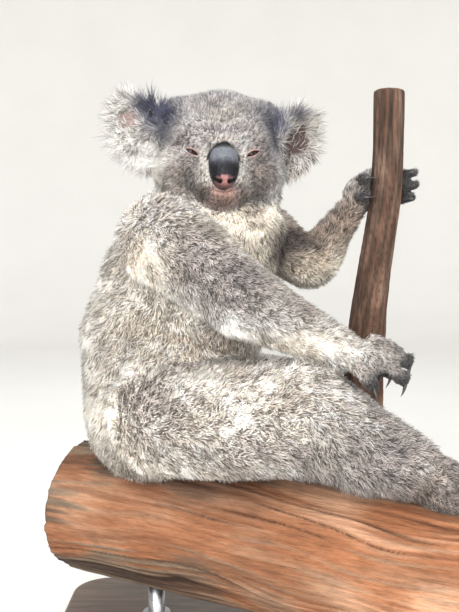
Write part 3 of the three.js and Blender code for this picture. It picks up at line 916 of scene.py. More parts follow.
def readLie(mesh):  # everything that the coat needs to know, for each corner of the skin
    lie = SimpleNamespace()
    lie.places = readVectors(mesh.vertices)
    lie.normals = unit(readVectors(mesh.vertices, "normal"))
    edges = readEdges(mesh)
    smooth = unit(relaxed(lie.normals, edges, 3))
    names = nodeNearest(lie.places)
    toClaw = np.full(len(names), 1e9)
    for claw in clawNodes:
        away = np.linalg.norm(lie.places / mm - clawLines[claw][0], axis=1)
        names[away < 15] = clawOwner(claw)
        toClaw = np.minimum(toClaw, away)
    local = inHead(lie.places)
    x, y, z = local.T
    onHead = names == "head"
    flow = unit(np.array([lies.get(name, (0, 0, -1)) for name in names], float))
    flow[onHead] = headFlow(local)[onHead]
    values = coatValues(names, local)
    noseX, noseZ = x / noseOutline["half"][0], (z - noseOutline["high"]) / noseOutline["half"][1]
    fromNose = np.hypot(noseX, noseZ)
    byNose = onHead & (y < -40)
    short = np.minimum(values["length"], mix(1.6, 5, ease(fromNose, 0.95, 1.7)))
    values["length"] = np.where(byNose, short, values["length"])
    hair = hairTones(names, lie.places, local, edges, toClaw)

    bare = np.zeros(len(local))
    bareColour = np.zeros((len(local), 3))
    lie.ear = np.zeros(len(local))
    for name, ear in earPlaces.items():
        at = inEar(lie.places, ear)
        radius = np.hypot(at[:, 0] / ear["half"][0], at[:, 2] / ear["half"][1])
        on = (radius < 1.2) & (abs(at[:, 1] - earBow(np.minimum(radius, 1))) < 7)
        on = evened(on & (x * ear["side"] > 58) & onHead, edges, 3)
        front = ease(-(lie.normals @ headTurn @ earTurn(ear))[:, 1], -0.1, 0.35)
        rim = ease(radius, 0.62, 0.95)
        hub = np.array((-0.75 * ear["side"] * ear["half"][0], 0, -4))
        outward = unit((at - hub) * (1, 0, 1)) + np.array((0, -0.25, 0))
        outward = unit(outward @ earTurn(ear).T @ headTurn.T)
        flow = unit(mix(flow, outward, on[:, None]))
        back = towards(tones["grey"], tones["fringe"], rim)
        face = withMarks(tones["pale"], at, earMarks[name])
        hair = towards(hair, towards(back, face, front), on)
        aims = {
            "length": mix(mix(earCoat["back"], earCoat["front"], front), earCoat["rim"], rim),
            "lift": mix(*earCoat["lift"], rim),
            "density": mix(*earCoat["density"], rim),
            "width": earCoat["width"],
        }
        for key, aim in aims.items():
            values[key] = mix(values[key], aim, on)
        # Each ear's bare hollow takes its own tone; the left one's carries painted shade.
        hollow = np.clip(1.9 * blob(at, *bareEars[name]) - 0.25, 0, 1) * on * front
        bare = np.maximum(bare, hollow)
        bareColour = mix(bareColour, bareTones[f"ear_{name}"], (hollow > 0.02)[:, None])
        lie.ear = np.maximum(lie.ear, on)

    flow = relaxed(flow, edges, 14)
    values = {key: evened(value, edges, 8) for key, value in values.items()}
    values["length"] = np.minimum(values["length"], mix(2.4, 20, ease(toClaw, 6, 32)))
    hanging = markShare(lie.places / mm, hangingFur["where"])
    values["length"] = mix(values["length"], hangingFur["length"], hanging)
    values["lift"] = mix(values["lift"], hangingFur["lift"], hanging)

    onRim = (fromNose > 0.88) & (fromNose < 1.15) & (z > -25) & (y < -40) & onHead
    over = np.stack([-0.8 * noseX, np.full(len(local), -1.2), -0.5 * noseZ], 1)
    flow = np.where(onRim[:, None], unit(over @ headTurn.T), flow)
    hair = [np.where(onRim[:, None], black, old) for old, black in zip(hair, tones["black"])]
    values["length"] = np.where(onRim, noseRim["length"], values["length"])
    values["lift"] = np.where(onRim, noseRim["lift"], values["lift"])

    for side in (-1, 1):  # lids
        along, up = eyeFrame(local, side)
        away = np.hypot(along / 1.85, up) + 0.35 * waves(local, 5, 15)
        lids = ease(away, 4.9, 3.3) * (y < -20)
        bare = np.maximum(bare, lids)
        bareColour = mix(bareColour, bareTones["lid"], lids[:, None] > 0.01)
        slit = ease(slitEdge(along, up), -1.1, 0.1) * (lids > 0)
        bareColour = mix(bareColour, bareTones["slit"], slit[:, None] * 0.9)
        short = np.minimum(values["length"], mix(2.2, 4.8, ease(away, 5, 13)))
        values["length"] = np.where((away < 14) & (y < -15), short, values["length"])
    # The mouth line is painted darker, as painted shade in the crease under the nose.
    mouth = ease(abs(z - mouthLine(x)), 1.4, 0.5) * ease(abs(x), 17, 13) * (y < -30)
    underNose = (fromNose < 0.97) & (y < -40) & onHead
    for share, tone in ((mouth, "mouth"), (underNose, "underNose")):
        bare = np.maximum(bare, share)
        bareColour = mix(bareColour, bareTones[tone], share[:, None])
    lie.bare = bare
    values["density"] *= 1 - ease(bare, 0.25, 0.75) * mix(1, 0.965, lie.ear)

    mottle = 1 + 0.06 * waves(lie.places, 0.045, 11) + 0.07 * waves(lie.places, 0.016, 12)
    tips, roots = (np.clip(tone * mottle[:, None], 0, 1) for tone in hair)
    lie.colour = linear(mix(mix(roots, tips, 0.28), bareColour, ease(bare, 0.1, 0.6)[:, None]))
    lie.tips, lie.roots = linear(tips), linear(roots)

    turned = 0.32 * waves(lie.places, 0.016, 21) + 0.25 * waves(lie.places, 0.05, 22)
    across = np.cross(smooth, flow)
    flow = flow * np.cos(turned)[:, None] + across * np.sin(turned)[:, None]
    gather = np.stack([waves(lie.places, 0.010, seed) for seed in (31, 32, 33)], 1)
    lie.flow, lie.gather = (way - smooth * (way * smooth).sum(1, keepdims=True) for way in (flow, gather))
    lie.flow = unit(lie.flow)
    lie.length, lie.width = values["length"] * mm, values["width"] * mm
    lie.lift, lie.density = np.radians(values["lift"]), values["density"]
    return lie


skinLie = readLie(skinMesh)
print("lie of the coat read")


def unwrap(mesh):  # the skin's own unwrap, which also places the coat's patches
    holder = newObject("unwrap", mesh)
    bpy.context.view_layer.objects.active = holder
    holder.select_set(True)
    bpy.ops.object.mode_set(mode="EDIT")
    bpy.ops.mesh.select_all(action="SELECT")
    bpy.ops.uv.smart_project(angle_limit=math.radians(66), island_margin=0.002)
    bpy.ops.object.mode_set(mode="OBJECT")
    bpy.data.objects.remove(holder)
    mesh.uv_layers.active.name = "OFBake"


unwrap(skinMesh)
paint(skinMesh, skinLie.colour)
addPiece("skin", skinMesh, skinMaterial(), [*flesh, "ear_right", "ear_left"])
print("skin painted and unwrapped")

coat = {
    "seed": 5,
    "quickShare": 0.4,
    "curved": 0.04,  # share of the tufts that bend over
    "patch": 0.003,  # side of a tuft's place on the map
    "trianglesEach": 185000,  # at most, in one layer
    "gather": 3.0 * mm,  # how far the tips draw together into locks
    "fleck": 3.4 * mm,  # size of the light and dark flecks
    "light": 0.35,  # flecks above this are light, and below the next are dark
    "dark": -0.42,
}
# A tuft's corners are the right and left of its root and the ridge between them, the same halfway up
# if it is curved, and the tip. Shades go from the root's colour to the tip's, and sides and ups place
# the corners on the map.
tuftForms = {
    "straight": {
        "shades": (0, 0, 0.15, 1), "ups": (0, 0, 0.25, 1), "sides": (0, 1, 0.5, 0.5),
        "faces": [(0, 2, 3), (2, 1, 3), (1, 0, 3), (0, 1, 2)],
    },
    "curved": {
        "shades": (0, 0, 0.1, 0.5, 0.5, 0.55, 1), "ups": (0, 0, 0.1, 0.5, 0.5, 0.6, 1),
        "sides": (0, 1, 0.5, 0.1, 0.9, 0.5, 0.5),
        "faces": [
            (0, 1, 2), (0, 2, 5), (0, 5, 3), (2, 1, 4), (2, 4, 5), (1, 0, 3), (1, 3, 4),
            (3, 5, 6), (5, 4, 6), (4, 3, 6),
        ],
    },
}


def someTufts(tufts, chosen):
    return SimpleNamespace(**{key: value[chosen] for key, value in vars(tufts).items()})


def scatterTufts(mesh, lie):
    rng = np.random.default_rng(coat["seed"])
    mesh.calc_loop_triangles()
    count = len(mesh.loop_triangles)
    corners = np.empty(count * 3, np.int32)
    loops = np.empty(count * 3, np.int32)
    mesh.loop_triangles.foreach_get("vertices", corners)
    mesh.loop_triangles.foreach_get("loops", loops)
    corners, loops = corners.reshape(-1, 3), loops.reshape(-1, 3)
    flat = np.empty(len(mesh.loops) * 2, np.float32)
    mesh.uv_layers["OFBake"].data.foreach_get("uv", flat)
    flat = flat.reshape(-1, 2)
    a, b, c = (lie.places[corners[:, k]] for k in range(3))
    area = 0.5 * np.linalg.norm(np.cross(b - a, c - a), axis=1) / mm**2
    wanted = area * lie.density[corners].mean(1) * 1
    each = np.floor(wanted + rng.random(count)).astype(int)
    face = np.repeat(np.arange(count), each)
    weight = rng.random((len(face), 3))
    flip = weight[:, 0] + weight[:, 1] > 1
    weight[flip, :2] = 1 - weight[flip, :2]
    weight[:, 2] = 1 - weight[:, 0] - weight[:, 1]

    def spread(values):
        values = values[corners[face]]
        return (values * (weight[:, :, None] if values.ndim == 3 else weight)).sum(1)

    tufts = SimpleNamespace()
    tufts.root = spread(lie.places)
    tufts.up = unit(spread(lie.normals))
    tufts.flow = spread(lie.flow)
    tufts.flow = unit(tufts.flow - tufts.up * (tufts.flow * tufts.up).sum(1, keepdims=True))
    count = len(face)
    turn = rng.normal(0, 0.5, count)[:, None]
    tufts.flow = tufts.flow * np.cos(turn) + np.cross(tufts.up, tufts.flow) * np.sin(turn)
    tufts.length = spread(lie.length) * rng.uniform(0.72, 1.18, count)
    tufts.width = spread(lie.width) * rng.uniform(0.75, 1.2, count)
    tufts.lift = spread(lie.lift) * rng.uniform(0.75, 1.2, count)
    tufts.gather = spread(lie.gather)
    tufts.tips, tufts.roots = spread(lie.tips), spread(lie.roots)
    kind = waves(tufts.root, coat["fleck"], 41) * 0.85 + rng.normal(0, 0.65, count)
    even = ease(tufts.roots.mean(1), 0.50, 0.68)  # the palest parts of the coat have few flecks
    light, dark = kind > coat["light"], kind < coat["dark"] - 1.8 * even
    tufts.tips[light] = np.minimum(tufts.tips[light] * 1.35, 0.95)
    tufts.tips[dark] *= rng.uniform(0.05, 0.26, dark.sum())[:, None]
    tufts.roots[dark] *= 0.6
    tufts.length[dark] *= 1.1
    tufts.tips *= rng.uniform(0.85, 1.1, count)[:, None]
    tufts.roots *= rng.uniform(0.7, 1.2, count)[:, None]
    tufts.tips, tufts.roots = np.clip(tufts.tips, 0, 0.97), np.clip(tufts.roots, 0, 0.97)
    tufts.uv = (flat[loops[face]] * weight[:, :, None]).sum(1)
    tufts.curved = rng.random(count) < coat["curved"]
    return tufts


def tuftCorners(tufts, curved):
    across = np.cross(tufts.up, tufts.flow)
    lift = tufts.lift[:, None]
    length = tufts.length[:, None]
    half = 0.5 * tufts.width[:, None]

    def leaning(angle):
        return np.cos(angle) * tufts.flow + np.sin(angle) * tufts.up

    over = -np.sin(lift) * tufts.flow + np.cos(lift) * tufts.up
    root = tufts.root - tufts.up * (0.35 * tufts.width[:, None])
    drawn = tufts.gather * coat["gather"] * (length / (16 * mm))
    if not curved:
        tip = root + length * leaning(lift) + drawn
        return [root + across * half, root - across * half, root + over * half * 1.3, tip]
    middle = root + 0.52 * length * leaning(1.35 * lift) + 0.35 * drawn
    tip = middle + 0.56 * length * leaning(0.45 * lift) + 0.65 * drawn
    return [
        root + across * half, root - across * half, root + over * half * 1.2,
        middle + across * half * 0.85, middle - across * half * 0.85, middle + over * half, tip,
    ]


def tuftMesh(name, tufts, kind):
    form = tuftForms[kind]
    places = tuftCorners(tufts, kind == "curved")
    count, each = len(tufts.root), len(places)
    places = np.stack(places, 1).reshape(-1, 3)
    shades = np.array(form["shades"])[None, :, None]
    colours = mix(tufts.roots[:, None], tufts.tips[:, None], shades).reshape(-1, 3)
    faces = np.array(form["faces"])
    corners = (np.arange(count)[:, None, None] * each + faces[None]).reshape(-1)
    cell = np.stack([form["sides"], form["ups"]], 1)[faces]
    cell[faces.max(1) == 2] = ((0, 0), (0.25, 0), (0.12, 0.12))  # the root's own face has a corner to itself
    uv = tufts.uv[:, None, None, :] + (cell[None] - 0.5) * coat["patch"]
    mesh = bpy.data.meshes.new(name)
    mesh.vertices.add(len(places))
    mesh.vertices.foreach_set("co", places.astype(np.float32).ravel())
    mesh.loops.add(len(corners))
    mesh.loops.foreach_set("vertex_index", corners.astype(np.int32))
    mesh.polygons.add(len(corners) // 3)
    mesh.polygons.foreach_set("loop_start", np.arange(0, len(corners), 3, dtype=np.int32))
    mesh.update(calc_edges=True)
    layer = mesh.uv_layers.new(name="OFBake")
    layer.data.foreach_set("uv", np.clip(uv, 0, 1).astype(np.float32).ravel())
    paint(mesh, colours)
    return mesh


def growCoat():
    tufts = scatterTufts(skinMesh, skinLie)
    material = coatMaterial()
    order = np.random.default_rng(coat["seed"] + 1).permutation(len(tufts.root))
    total = 0
    number = 0
    for kind, form in tuftForms.items():
        chosen = order[tufts.curved[order] == (kind == "curved")]
        triangles = len(chosen) * len(form["faces"])
        for part in np.array_split(chosen, math.ceil(triangles / coat["trianglesEach"])):
            number += 1
            name = f"coat_{number}"
            addPiece(name, tuftMesh(name, someTufts(tufts, part), kind), material)
        total += triangles
    print("coat grown:", len(tufts.root), "tufts,", total, "triangles in", number, "layers")


growCoat()

noseForm = {  # the voxel in metres, the rest in millimetres of the head's frame
    "voxel": 0.75 * mm,
    "main": {"at": (0, -63, -33.4), "half": (15.6, 16.6, 22.8), "lean": -16, "square": 0.76},
    "tip": {"at": (0, -70.5, -45.5), "half": (13.2, 11, 10.4), "lean": 0, "square": 0.9},
    "bridge": {"at": (0, -80, -30), "half": (12, 14, 14), "full": 0.9},
    "nostril": (4.4, -51.1),  # its lower end: out from the middle, and height
    "curl": (6.6, 4.6),  # how far it runs out and up
    "hole": (3.4, 1.7),  # depth and width
    "wing": (0.9, 3.4, 1.3),  # height of the edge round it, how far out it lies, and its width
    "cleft": (0.7, 0.8),  # depth and width
    "pebbles": 0.16,
    "taper": 0.88,  # of the width, at the foot
}
noseTones = {
    "rim": (0.07, 0.07, 0.08),
    # The top tone is partly the leather's own slate grey and partly a painted sheen.
    "top": (0.35, 0.36, 0.385),
    "low": (0.05, 0.05, 0.07),
    "pad": (0.40, 0.27, 0.275),
    "septum": (0.53, 0.37, 0.355),
    "hole": (0.03, 0.02, 0.02),
}


def eggMesh(egg):
    lean = np.array(Matrix.Rotation(math.radians(egg["lean"]), 3, "X"))
    turns = roundTurns(64)
    rings = []
    for k in range(1, 40):
        polar = math.pi * k / 40
        wide = math.sin(polar) ** egg["square"]
        tall = math.copysign(abs(math.cos(polar)) ** egg["square"], math.cos(polar))
        rings.append(fromHead((ringAt(turns, wide, tall) * egg["half"]) @ lean.T + np.array(egg["at"])))
    return gridShell("egg", rings)


def nostrilDistance(local):  # from a comma that starts low beside the septum and curls up and out
    x, z = abs(local[:, 0]), local[:, 2]
    (out, high), (runOut, runUp) = noseForm["nostril"], noseForm["curl"]
    best = np.full(len(x), 1e9)
    for t in np.linspace(0, 1, 9):
        wide = 1.0 - 0.45 * t
        best = np.minimum(best, np.hypot(x - (out + runOut * t), z - (high + runUp * t**1.8)) / wide)
    return best


def shapeNose(mesh):  # returns each corner's place in the head's frame, and its distance from a nostril
    places = relaxed(readVectors(mesh.vertices), readEdges(mesh), 14, 0.6, restore=0.9)
    local = inHead(places)
    x, y, z = local.T
    local[:, 0] = x * mix(1, noseForm["taper"], ease(-z, 34, 48))
    front = ease(-y, 62, 68)
    out = swelling(local, noseForm["bridge"])
    hole = nostrilDistance(local)
    deep, wide = noseForm["hole"]
    out -= deep * band(hole, wide) * front
    high, offset, wide = noseForm["wing"]
    out += high * band(hole - offset, wide) * front * (z < -42)
    deep, wide = noseForm["cleft"]
    out -= deep * band(x, wide) * ease(-z, 48, 53) * front
    out += noseForm["pebbles"] * waves(local, 2.2, 51) * ease(-z, 12, 20)
    local[:, 1] -= out
    writePlaces(mesh, fromHead(local))
    return local, hole


def noseColours(local, hole):
    x, _, z = local.T
    soft = 0.25 * waves(local, 7, 52)
    shares = {  # laid over the top's tone one after another
        "low": ease(-z + 2 * soft, 24, 37),
        "rim": ease(z + 1.2 * soft, -16.5, -12.5),
        "side": 0.75 * ease(abs(x), 13.2, 15.4),
        "pad": 0.85 * (ease(-z + 3 * soft, 44.5, 47.5) * ease(abs(x), 11, 9) * ease(-z, 58, 54.5)),
        "septum": 0.85 * (ease(abs(x), 4.2, 2.6) * ease(-z, 43.5, 46) * ease(-z, 57, 53)),
        "hole": ease(hole, 2.6, 1.2),
    }
    # Starting from the top's lighter slate, which carries a painted sheen.
    tone = noseTones["top"]
    for name, share in shares.items():
        tone = mix(tone, noseTones["rim" if name == "side" else name], share[:, None])
    return linear(tone)


def noseMaterial():
    material, tree, shader = newMaterial("noseLeather", rough=0.45, specular=0.18)
    where = objectPlaces(tree)
    pebble = addNode(tree, "ShaderNodeTexVoronoi", {"Vector": where, "Scale": 900}, feature="SMOOTH_F1")
    shade = rescaled(tree, noiseNode(tree, where, 420, 4), 0.8, 1.2)
    rough = rescaled(tree, noiseNode(tree, where, 300, 3), 0.36, 0.58)
    setLook(tree, shader, shadedPaint(tree, shade), rough)
    addBump(tree, shader, pebble.outputs["Distance"], 0.0004, 0.5)
    addBump(tree, shader, noiseNode(tree, where, 500, 3), 0.0004, 0.4)
    return material


def makeNose():
    eggs = [eggMesh(noseForm[part]) for part in ("main", "tip")]
    mesh = remeshed(joinedMeshes(eggs), noseForm["voxel"])
    paint(mesh, noseColours(*shapeNose(mesh)))
    addPiece("nose_leather", mesh, noseMaterial(), ["nose"])


makeNose()
print("nose made")

eyeForm = {"iris": 38, "pupil": (5, 17), "gaze": (0, -1, -0.12)}  # the iris and the pupil in degrees
eyeTones = {
    "white": (0.07, 0.045, 0.035),
    "iris": (0.11, 0.06, 0.035),
    "ring": (0.04, 0.025, 0.02),
    "pupil": (0.01, 0.01, 0.01),
}


def eyeColours(off, across, rise):  # from the angle off the gaze, and its parts across and up
    edge = eyeForm["iris"]
    spoke = np.arctan2(rise, across)
    streak = 0.5 + 0.25 * np.sin(spoke * 23) + 0.15 * np.sin(spoke * 41)
    ringShare = np.clip(streak * off / 60 + ease(off, edge - 10, edge), 0, 1)
    tone = mix(eyeTones["iris"], eyeTones["ring"], ringShare[:, None])
    tone = mix(tone, eyeTones["white"], ease(off, edge - 2, edge + 3)[:, None])
    wide, high = eyeForm["pupil"]
    pupil = ease(np.hypot(across / wide, rise / high), 1.15, 0.9)
    return linear(mix(tone, eyeTones["pupil"], pupil[:, None]))


def makeEye(name):
    middle = middleOf(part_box(name))
    gaze = unit(np.array(eyeForm["gaze"], float)) @ headTurn.T
    side = unit(np.cross(gaze, (0, 0, 1)))
    top = np.cross(side, gaze)
    turns = roundTurns(64)
    rings = []
    for k in range(1, 56):
        polar = math.pi * (k / 56) ** 1.25
        ring = (
            math.cos(polar) * gaze[None]
            + math.sin(polar) * (np.cos(turns)[:, None] * side + np.sin(turns)[:, None] * top)
        )
        rings.append(middle + ring * faceForm["eyeRadius"] * mm)
    mesh = gridShell(name, rings)
    ray = unit(readVectors(mesh.vertices) - middle)
    off = np.degrees(np.arccos(np.clip(ray @ gaze, -1, 1)))
    paint(mesh, eyeColours(off, np.degrees(ray @ side), np.degrees(ray @ top)))
    material, tree, shader = newMaterial(name, rough=0.2, specular=0.14, glaze=0.03, glazeRough=0.05)
    wet = noiseNode(tree, objectPlaces(tree), 400, 2)
    setLook(tree, shader, paintedColour(tree), rescaled(tree, wet, 0.14, 0.24))
    addBump(tree, shader, wet, 0.0001, 0.15)
    addPiece(f"ball_{name}", mesh, material, [name])


for eyeName in ("eye_right", "eye_left"):
    makeEye(eyeName)
print("eyes made")

clawForm = {"inside": 9, "beyond": 1.6, "radius": 2.7, "flat": 0.78, "bow": 2.0}  # millimetres
clawTones = [(0.3, (0.06, 0.055, 0.06)), (0.75, (0.20, 0.185, 0.18))]


def clawMaterial():
    material, tree, shader = newMaterial("clawHorn", rough=0.3, specular=0.5, glaze=0.25, glazeRough=0.2)
    where = objectPlaces(tree)
    tone = ramp(tree, noiseNode(tree, where, 350, 3), clawTones)
    setLook(tree, shader, tone, rescaled(tree, noiseNode(tree, where, 500, 2), 0.22, 0.42))
    addBump(tree, shader, noiseNode(tree, where, 900, 3), 0.0003, 0.4)
    return material


def makeClaw(node, material):
    root, tip, axis = clawLines[node]
    away = root - middleOf(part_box(clawOwner(node))) / mm
    bow = unit(away - axis * (away @ axis))
    side = np.cross(axis, bow)
    start, end = root - axis * clawForm["inside"], tip + axis * clawForm["beyond"]
    turns = roundTurns(20)
    rings = []
    for t in np.linspace(0, 0.985, 14):
        centre = mix(start, end, t) + bow * clawForm["bow"] * 4 * t * (1 - t)
        radius = clawForm["radius"] * (1 - t**1.7)
        if t == 0:
            radius *= 0.8
        ring = centre + radius * (
            np.cos(turns)[:, None] * bow + clawForm["flat"] * np.sin(turns)[:, None] * side
        )
        rings.append(ring * mm)
    addPiece(f"horn_{node}", gridShell(node, rings), material, [node])


clawHorn = clawMaterial()
for clawNode in clawNodes:
    makeClaw(clawNode, clawHorn)
print("claws made")

# The wood: the limb that it sits on, and the stem that it holds.
limbForm = {  # the voxel in metres, the rest in millimetres
    "from": (-232, 84, 146), "to": (258, -132, 117), "voxel": 2.4 * mm,
    "fibre": 0.45,  # height of the long ridges
    "swell": 0.7,
    "crack": 3.2,
    "checks": ((0.4, 14), (1.6, 34), (2.7, 24), (4.1, 8), (5.2, 38)),  # of the cut ends: turn, and start
    "checkWidth": 1.9,
    "checkDepth": 1.1,
}
limbTones = {
    "red": (0.50, 0.325, 0.22), "warm": (0.62, 0.475, 0.375), "deep": (0.31, 0.19, 0.13),
    "greyBark": (0.42, 0.355, 0.295), "darkBark": (0.24, 0.19, 0.155), "split": (0.10, 0.06, 0.045),
    "heart": (0.60, 0.455, 0.325), "sapwood": (0.47, 0.33, 0.225), "check": (0.20, 0.13, 0.09),
}
stemForm = {
    "voxel": 2.1 * mm,
    "fibre": 0.35, "flake": 0.5, "groove": 1.3, "ridge": 0.9,  # millimetres
    "line": [(108, -34, 150), (111, 22, 250), (123, 49, 395), (142, 50, 540), (144, 50, 652)],
    "heart": (0.144, 0.05, 0),  # where the growth rings are centred, in metres
}
stemTones = {
    "shade": (0.27, 0.21, 0.175), "lit": (0.44, 0.36, 0.31), "flake": (0.34, 0.225, 0.165),
    # The tone after the groove's is painted shade, for the stem's left side.
    "groove": (0.13, 0.09, 0.075), "worn": (0.20, 0.15, 0.13), "foot": (0.40, 0.25, 0.17),
    "heart": (0.62, 0.48, 0.35), "sapwood": (0.48, 0.35, 0.25), "rim": (0.25, 0.18, 0.15),
}


def alongLimb(places):  # millimetres along, turns round the axis, and distance from the axis
    start, end = np.array(limbForm["from"]), np.array(limbForm["to"])
    axis = unit(end - start)
    side = unit(np.cross(axis, (0, 0, 1)))
    top = np.cross(side, axis)
    away = places / mm - start
    return away @ axis, np.arctan2(away @ side, away @ top), np.hypot(away @ side, away @ top)


def ringWaves(along, turn, stretch, fineness, seed, count=10):  # noise drawn out along the wood
    rng = np.random.default_rng(seed)
    total = np.zeros(len(along))
    for _ in range(count):
        laps = round(fineness * rng.uniform(0.5, 1.5))
        total += np.sin(laps * turn + along / stretch * rng.uniform(-2.5, 2.5) + rng.uniform(0, 2 * math.pi))
    return total / math.sqrt(count / 2)


def smoothedWood(node, voxel):  # a node with small even faces, its corners and their normals
    mesh = remeshed(mergedCopy([node]), voxel)
    places = relaxed(readVectors(mesh.vertices), readEdges(mesh), 30, 0.6, restore=0.93)
    writePlaces(mesh, places)
    return mesh, places, unit(readVectors(mesh.vertices, "normal"))


def overlaid(tone, layers):  # tones laid over one another, each with its share
    for layer, share in layers:
        tone = mix(tone, layer, share[:, None])
    return tone


def paintWood(mesh, cut, bark, barrel):
    paint(mesh, linear(mix(cut, bark, barrel[:, None])))
    paint(mesh, np.repeat(barrel[:, None], 3, 1), "barrel")


def woodColour(tree, growth, streaks):  # growth rings on the cut ends, and streaks elsewhere
    return shadedPaint(tree, blended(tree, growth, streaks, paintedColour(tree, "barrel")))


def limbMaterial(axis):
    material, tree, shader = newMaterial("limbWood", specular=0.25)
    level = mapped(tree, objectPlaces(tree), Location=[-part * mm for part in limbForm["from"]])
    level = mapped(tree, level, Rotation=(0, 0, -math.atan2(axis[1], axis[0])))
    level = mapped(tree, level, Rotation=(0, math.asin(axis[2]), 0))
    fibre = noiseNode(tree, mapped(tree, level, Scale=(24, 260, 260)), 1, 6, 0.7, 0.9)
    splinters = noiseNode(tree, mapped(tree, level, Scale=(60, 800, 800)), 1, 3, 0.6, 0.4)
    worn = noiseNode(tree, mapped(tree, level, Scale=(26, 60, 60)), 1, 6, 0.7, 0.6)
    streaks = rescaled(tree, blended(tree, blended(tree, fibre, splinters, 0.35), worn, 0.4), 0.45, 1.5)
    colour = woodColour(tree, growthRings(tree, level, "X", 92), streaks)
    setLook(tree, shader, colour, rescaled(tree, fibre, 0.95, 0.68))
    addBump(tree, shader, fibre, 0.0028, 0.9)
    addBump(tree, shader, splinters, 0.0012, 0.7)
    addBump(tree, shader, noiseNode(tree, objectPlaces(tree), 420, 4), 0.0006, 0.4)
    return material


def makeLimb():
    mesh, places, normals = smoothedWood("perch_limb", limbForm["voxel"])
    along, turn, radius = alongLimb(places)
    drift = turn + 0.16 * np.sin(along / 90) + 0.05 * ringWaves(along, turn, 60, 3, 60)
    ridges = ringWaves(along, drift, 170, 40, 61)
    broad = ringWaves(along, drift, 210, 9, 62)
    crack = ringWaves(along, drift, 170, 15, 63)
    split = band(crack, 0.3) * ease(ringWaves(along, drift, 120, 4, 64), 0.5, 1.3)
    axis = unit(np.array(limbForm["to"]) - np.array(limbForm["from"]))
    barrel = 1 - ease(abs(normals @ axis), 0.35, 0.7)
    height = (limbForm["fibre"] * ridges + limbForm["swell"] * broad - limbForm["crack"] * split) * barrel
    checks = np.zeros(len(radius))
    for angle, inner in limbForm["checks"]:
        off = radius * np.sin(turn - angle) + 1.5 * np.sin(radius / 9 + angle)
        line = band(off, limbForm["checkWidth"]) * ease(radius, inner, inner + 18)
        checks = np.maximum(checks, line * (np.cos(turn - angle) > 0))
    height -= limbForm["checkDepth"] * checks * (1 - barrel)
    writePlaces(mesh, places + normals * height[:, None] * mm)

    patches = ringWaves(along, drift, 32, 4, 67)
    lit = ease(ridges * 0.3 + broad * 0.3 + patches * 0.6, -0.9, 1.2)
    streaked = 0.3 * ease(ringWaves(along, drift, 50, 26, 65), 0.5, 1.8)
    flaking = ringWaves(along, drift, 120, 3, 66) + 0.4 * ridges + 0.5 * patches
    bark = ease(flaking + ease(along, 330, 140) * 1.2, 0.3, 1.5) * mix(0.35, 1, ease(along, 330, 60))
    bark = np.maximum(bark, 0.6 * ease(abs(drift), 1.2, 0.3) * ease(along + 60 * patches, 300, 120))
    barkTone = mix(limbTones["darkBark"], limbTones["greyBark"], ease(ridges + broad, -1, 1.2)[:, None])
    rumpShadow = ease(abs(drift), 1.35, 0.7) * ease(along, 50, 120) * ease(along, 300, 210)  # painted shadow of the rump on the limb's top, with some worn grime
    tone = mix(limbTones["red"], limbTones["warm"], lit[:, None])
    tone = overlaid(tone, [(limbTones["deep"], streaked), (barkTone, bark)])
    tone = np.clip(tone * mix(1, 1.14, ease(along, 280, 430))[:, None], 0, 1)
    # Painted shadow under the rump goes on first, then the dark of the splits.
    tone = overlaid(tone, [(limbTones["deep"], 0.45 * rumpShadow), (limbTones["split"], 0.5 * split)])
    cut = overlaid(limbTones["heart"], [
        (limbTones["sapwood"], ease(radius + 3 * broad, 20, 60)),
        (limbTones["check"], 0.5 * checks),
        (limbTones["darkBark"], ease(radius, 66, 74)),
    ])
    paintWood(mesh, cut, tone, barrel)
    addPiece("limb", mesh, limbMaterial(axis), ["perch_limb"])


def stemMaterial():
    material, tree, shader = newMaterial("stemBark", specular=0.2)
    where = objectPlaces(tree)
    fibre = noiseNode(tree, mapped(tree, where, Scale=(220, 220, 36)), 1, 6, 0.72, 0.9)
    worn = noiseNode(tree, mapped(tree, where, Scale=(70, 70, 36)), 1, 6, 0.7, 0.8)
    streaks = rescaled(tree, blended(tree, fibre, worn, 0.45), 0.4, 1.55)
    centred = mapped(tree, where, Location=[-part for part in stemForm["heart"]])
    colour = woodColour(tree, growthRings(tree, centred, "Z", 190), streaks)
    setLook(tree, shader, colour, rescaled(tree, fibre, 0.97, 0.75))
    addBump(tree, shader, fibre, 0.0034, 1.0)
    addBump(tree, shader, noiseNode(tree, where, 500, 4), 0.0005, 0.5)
    return material


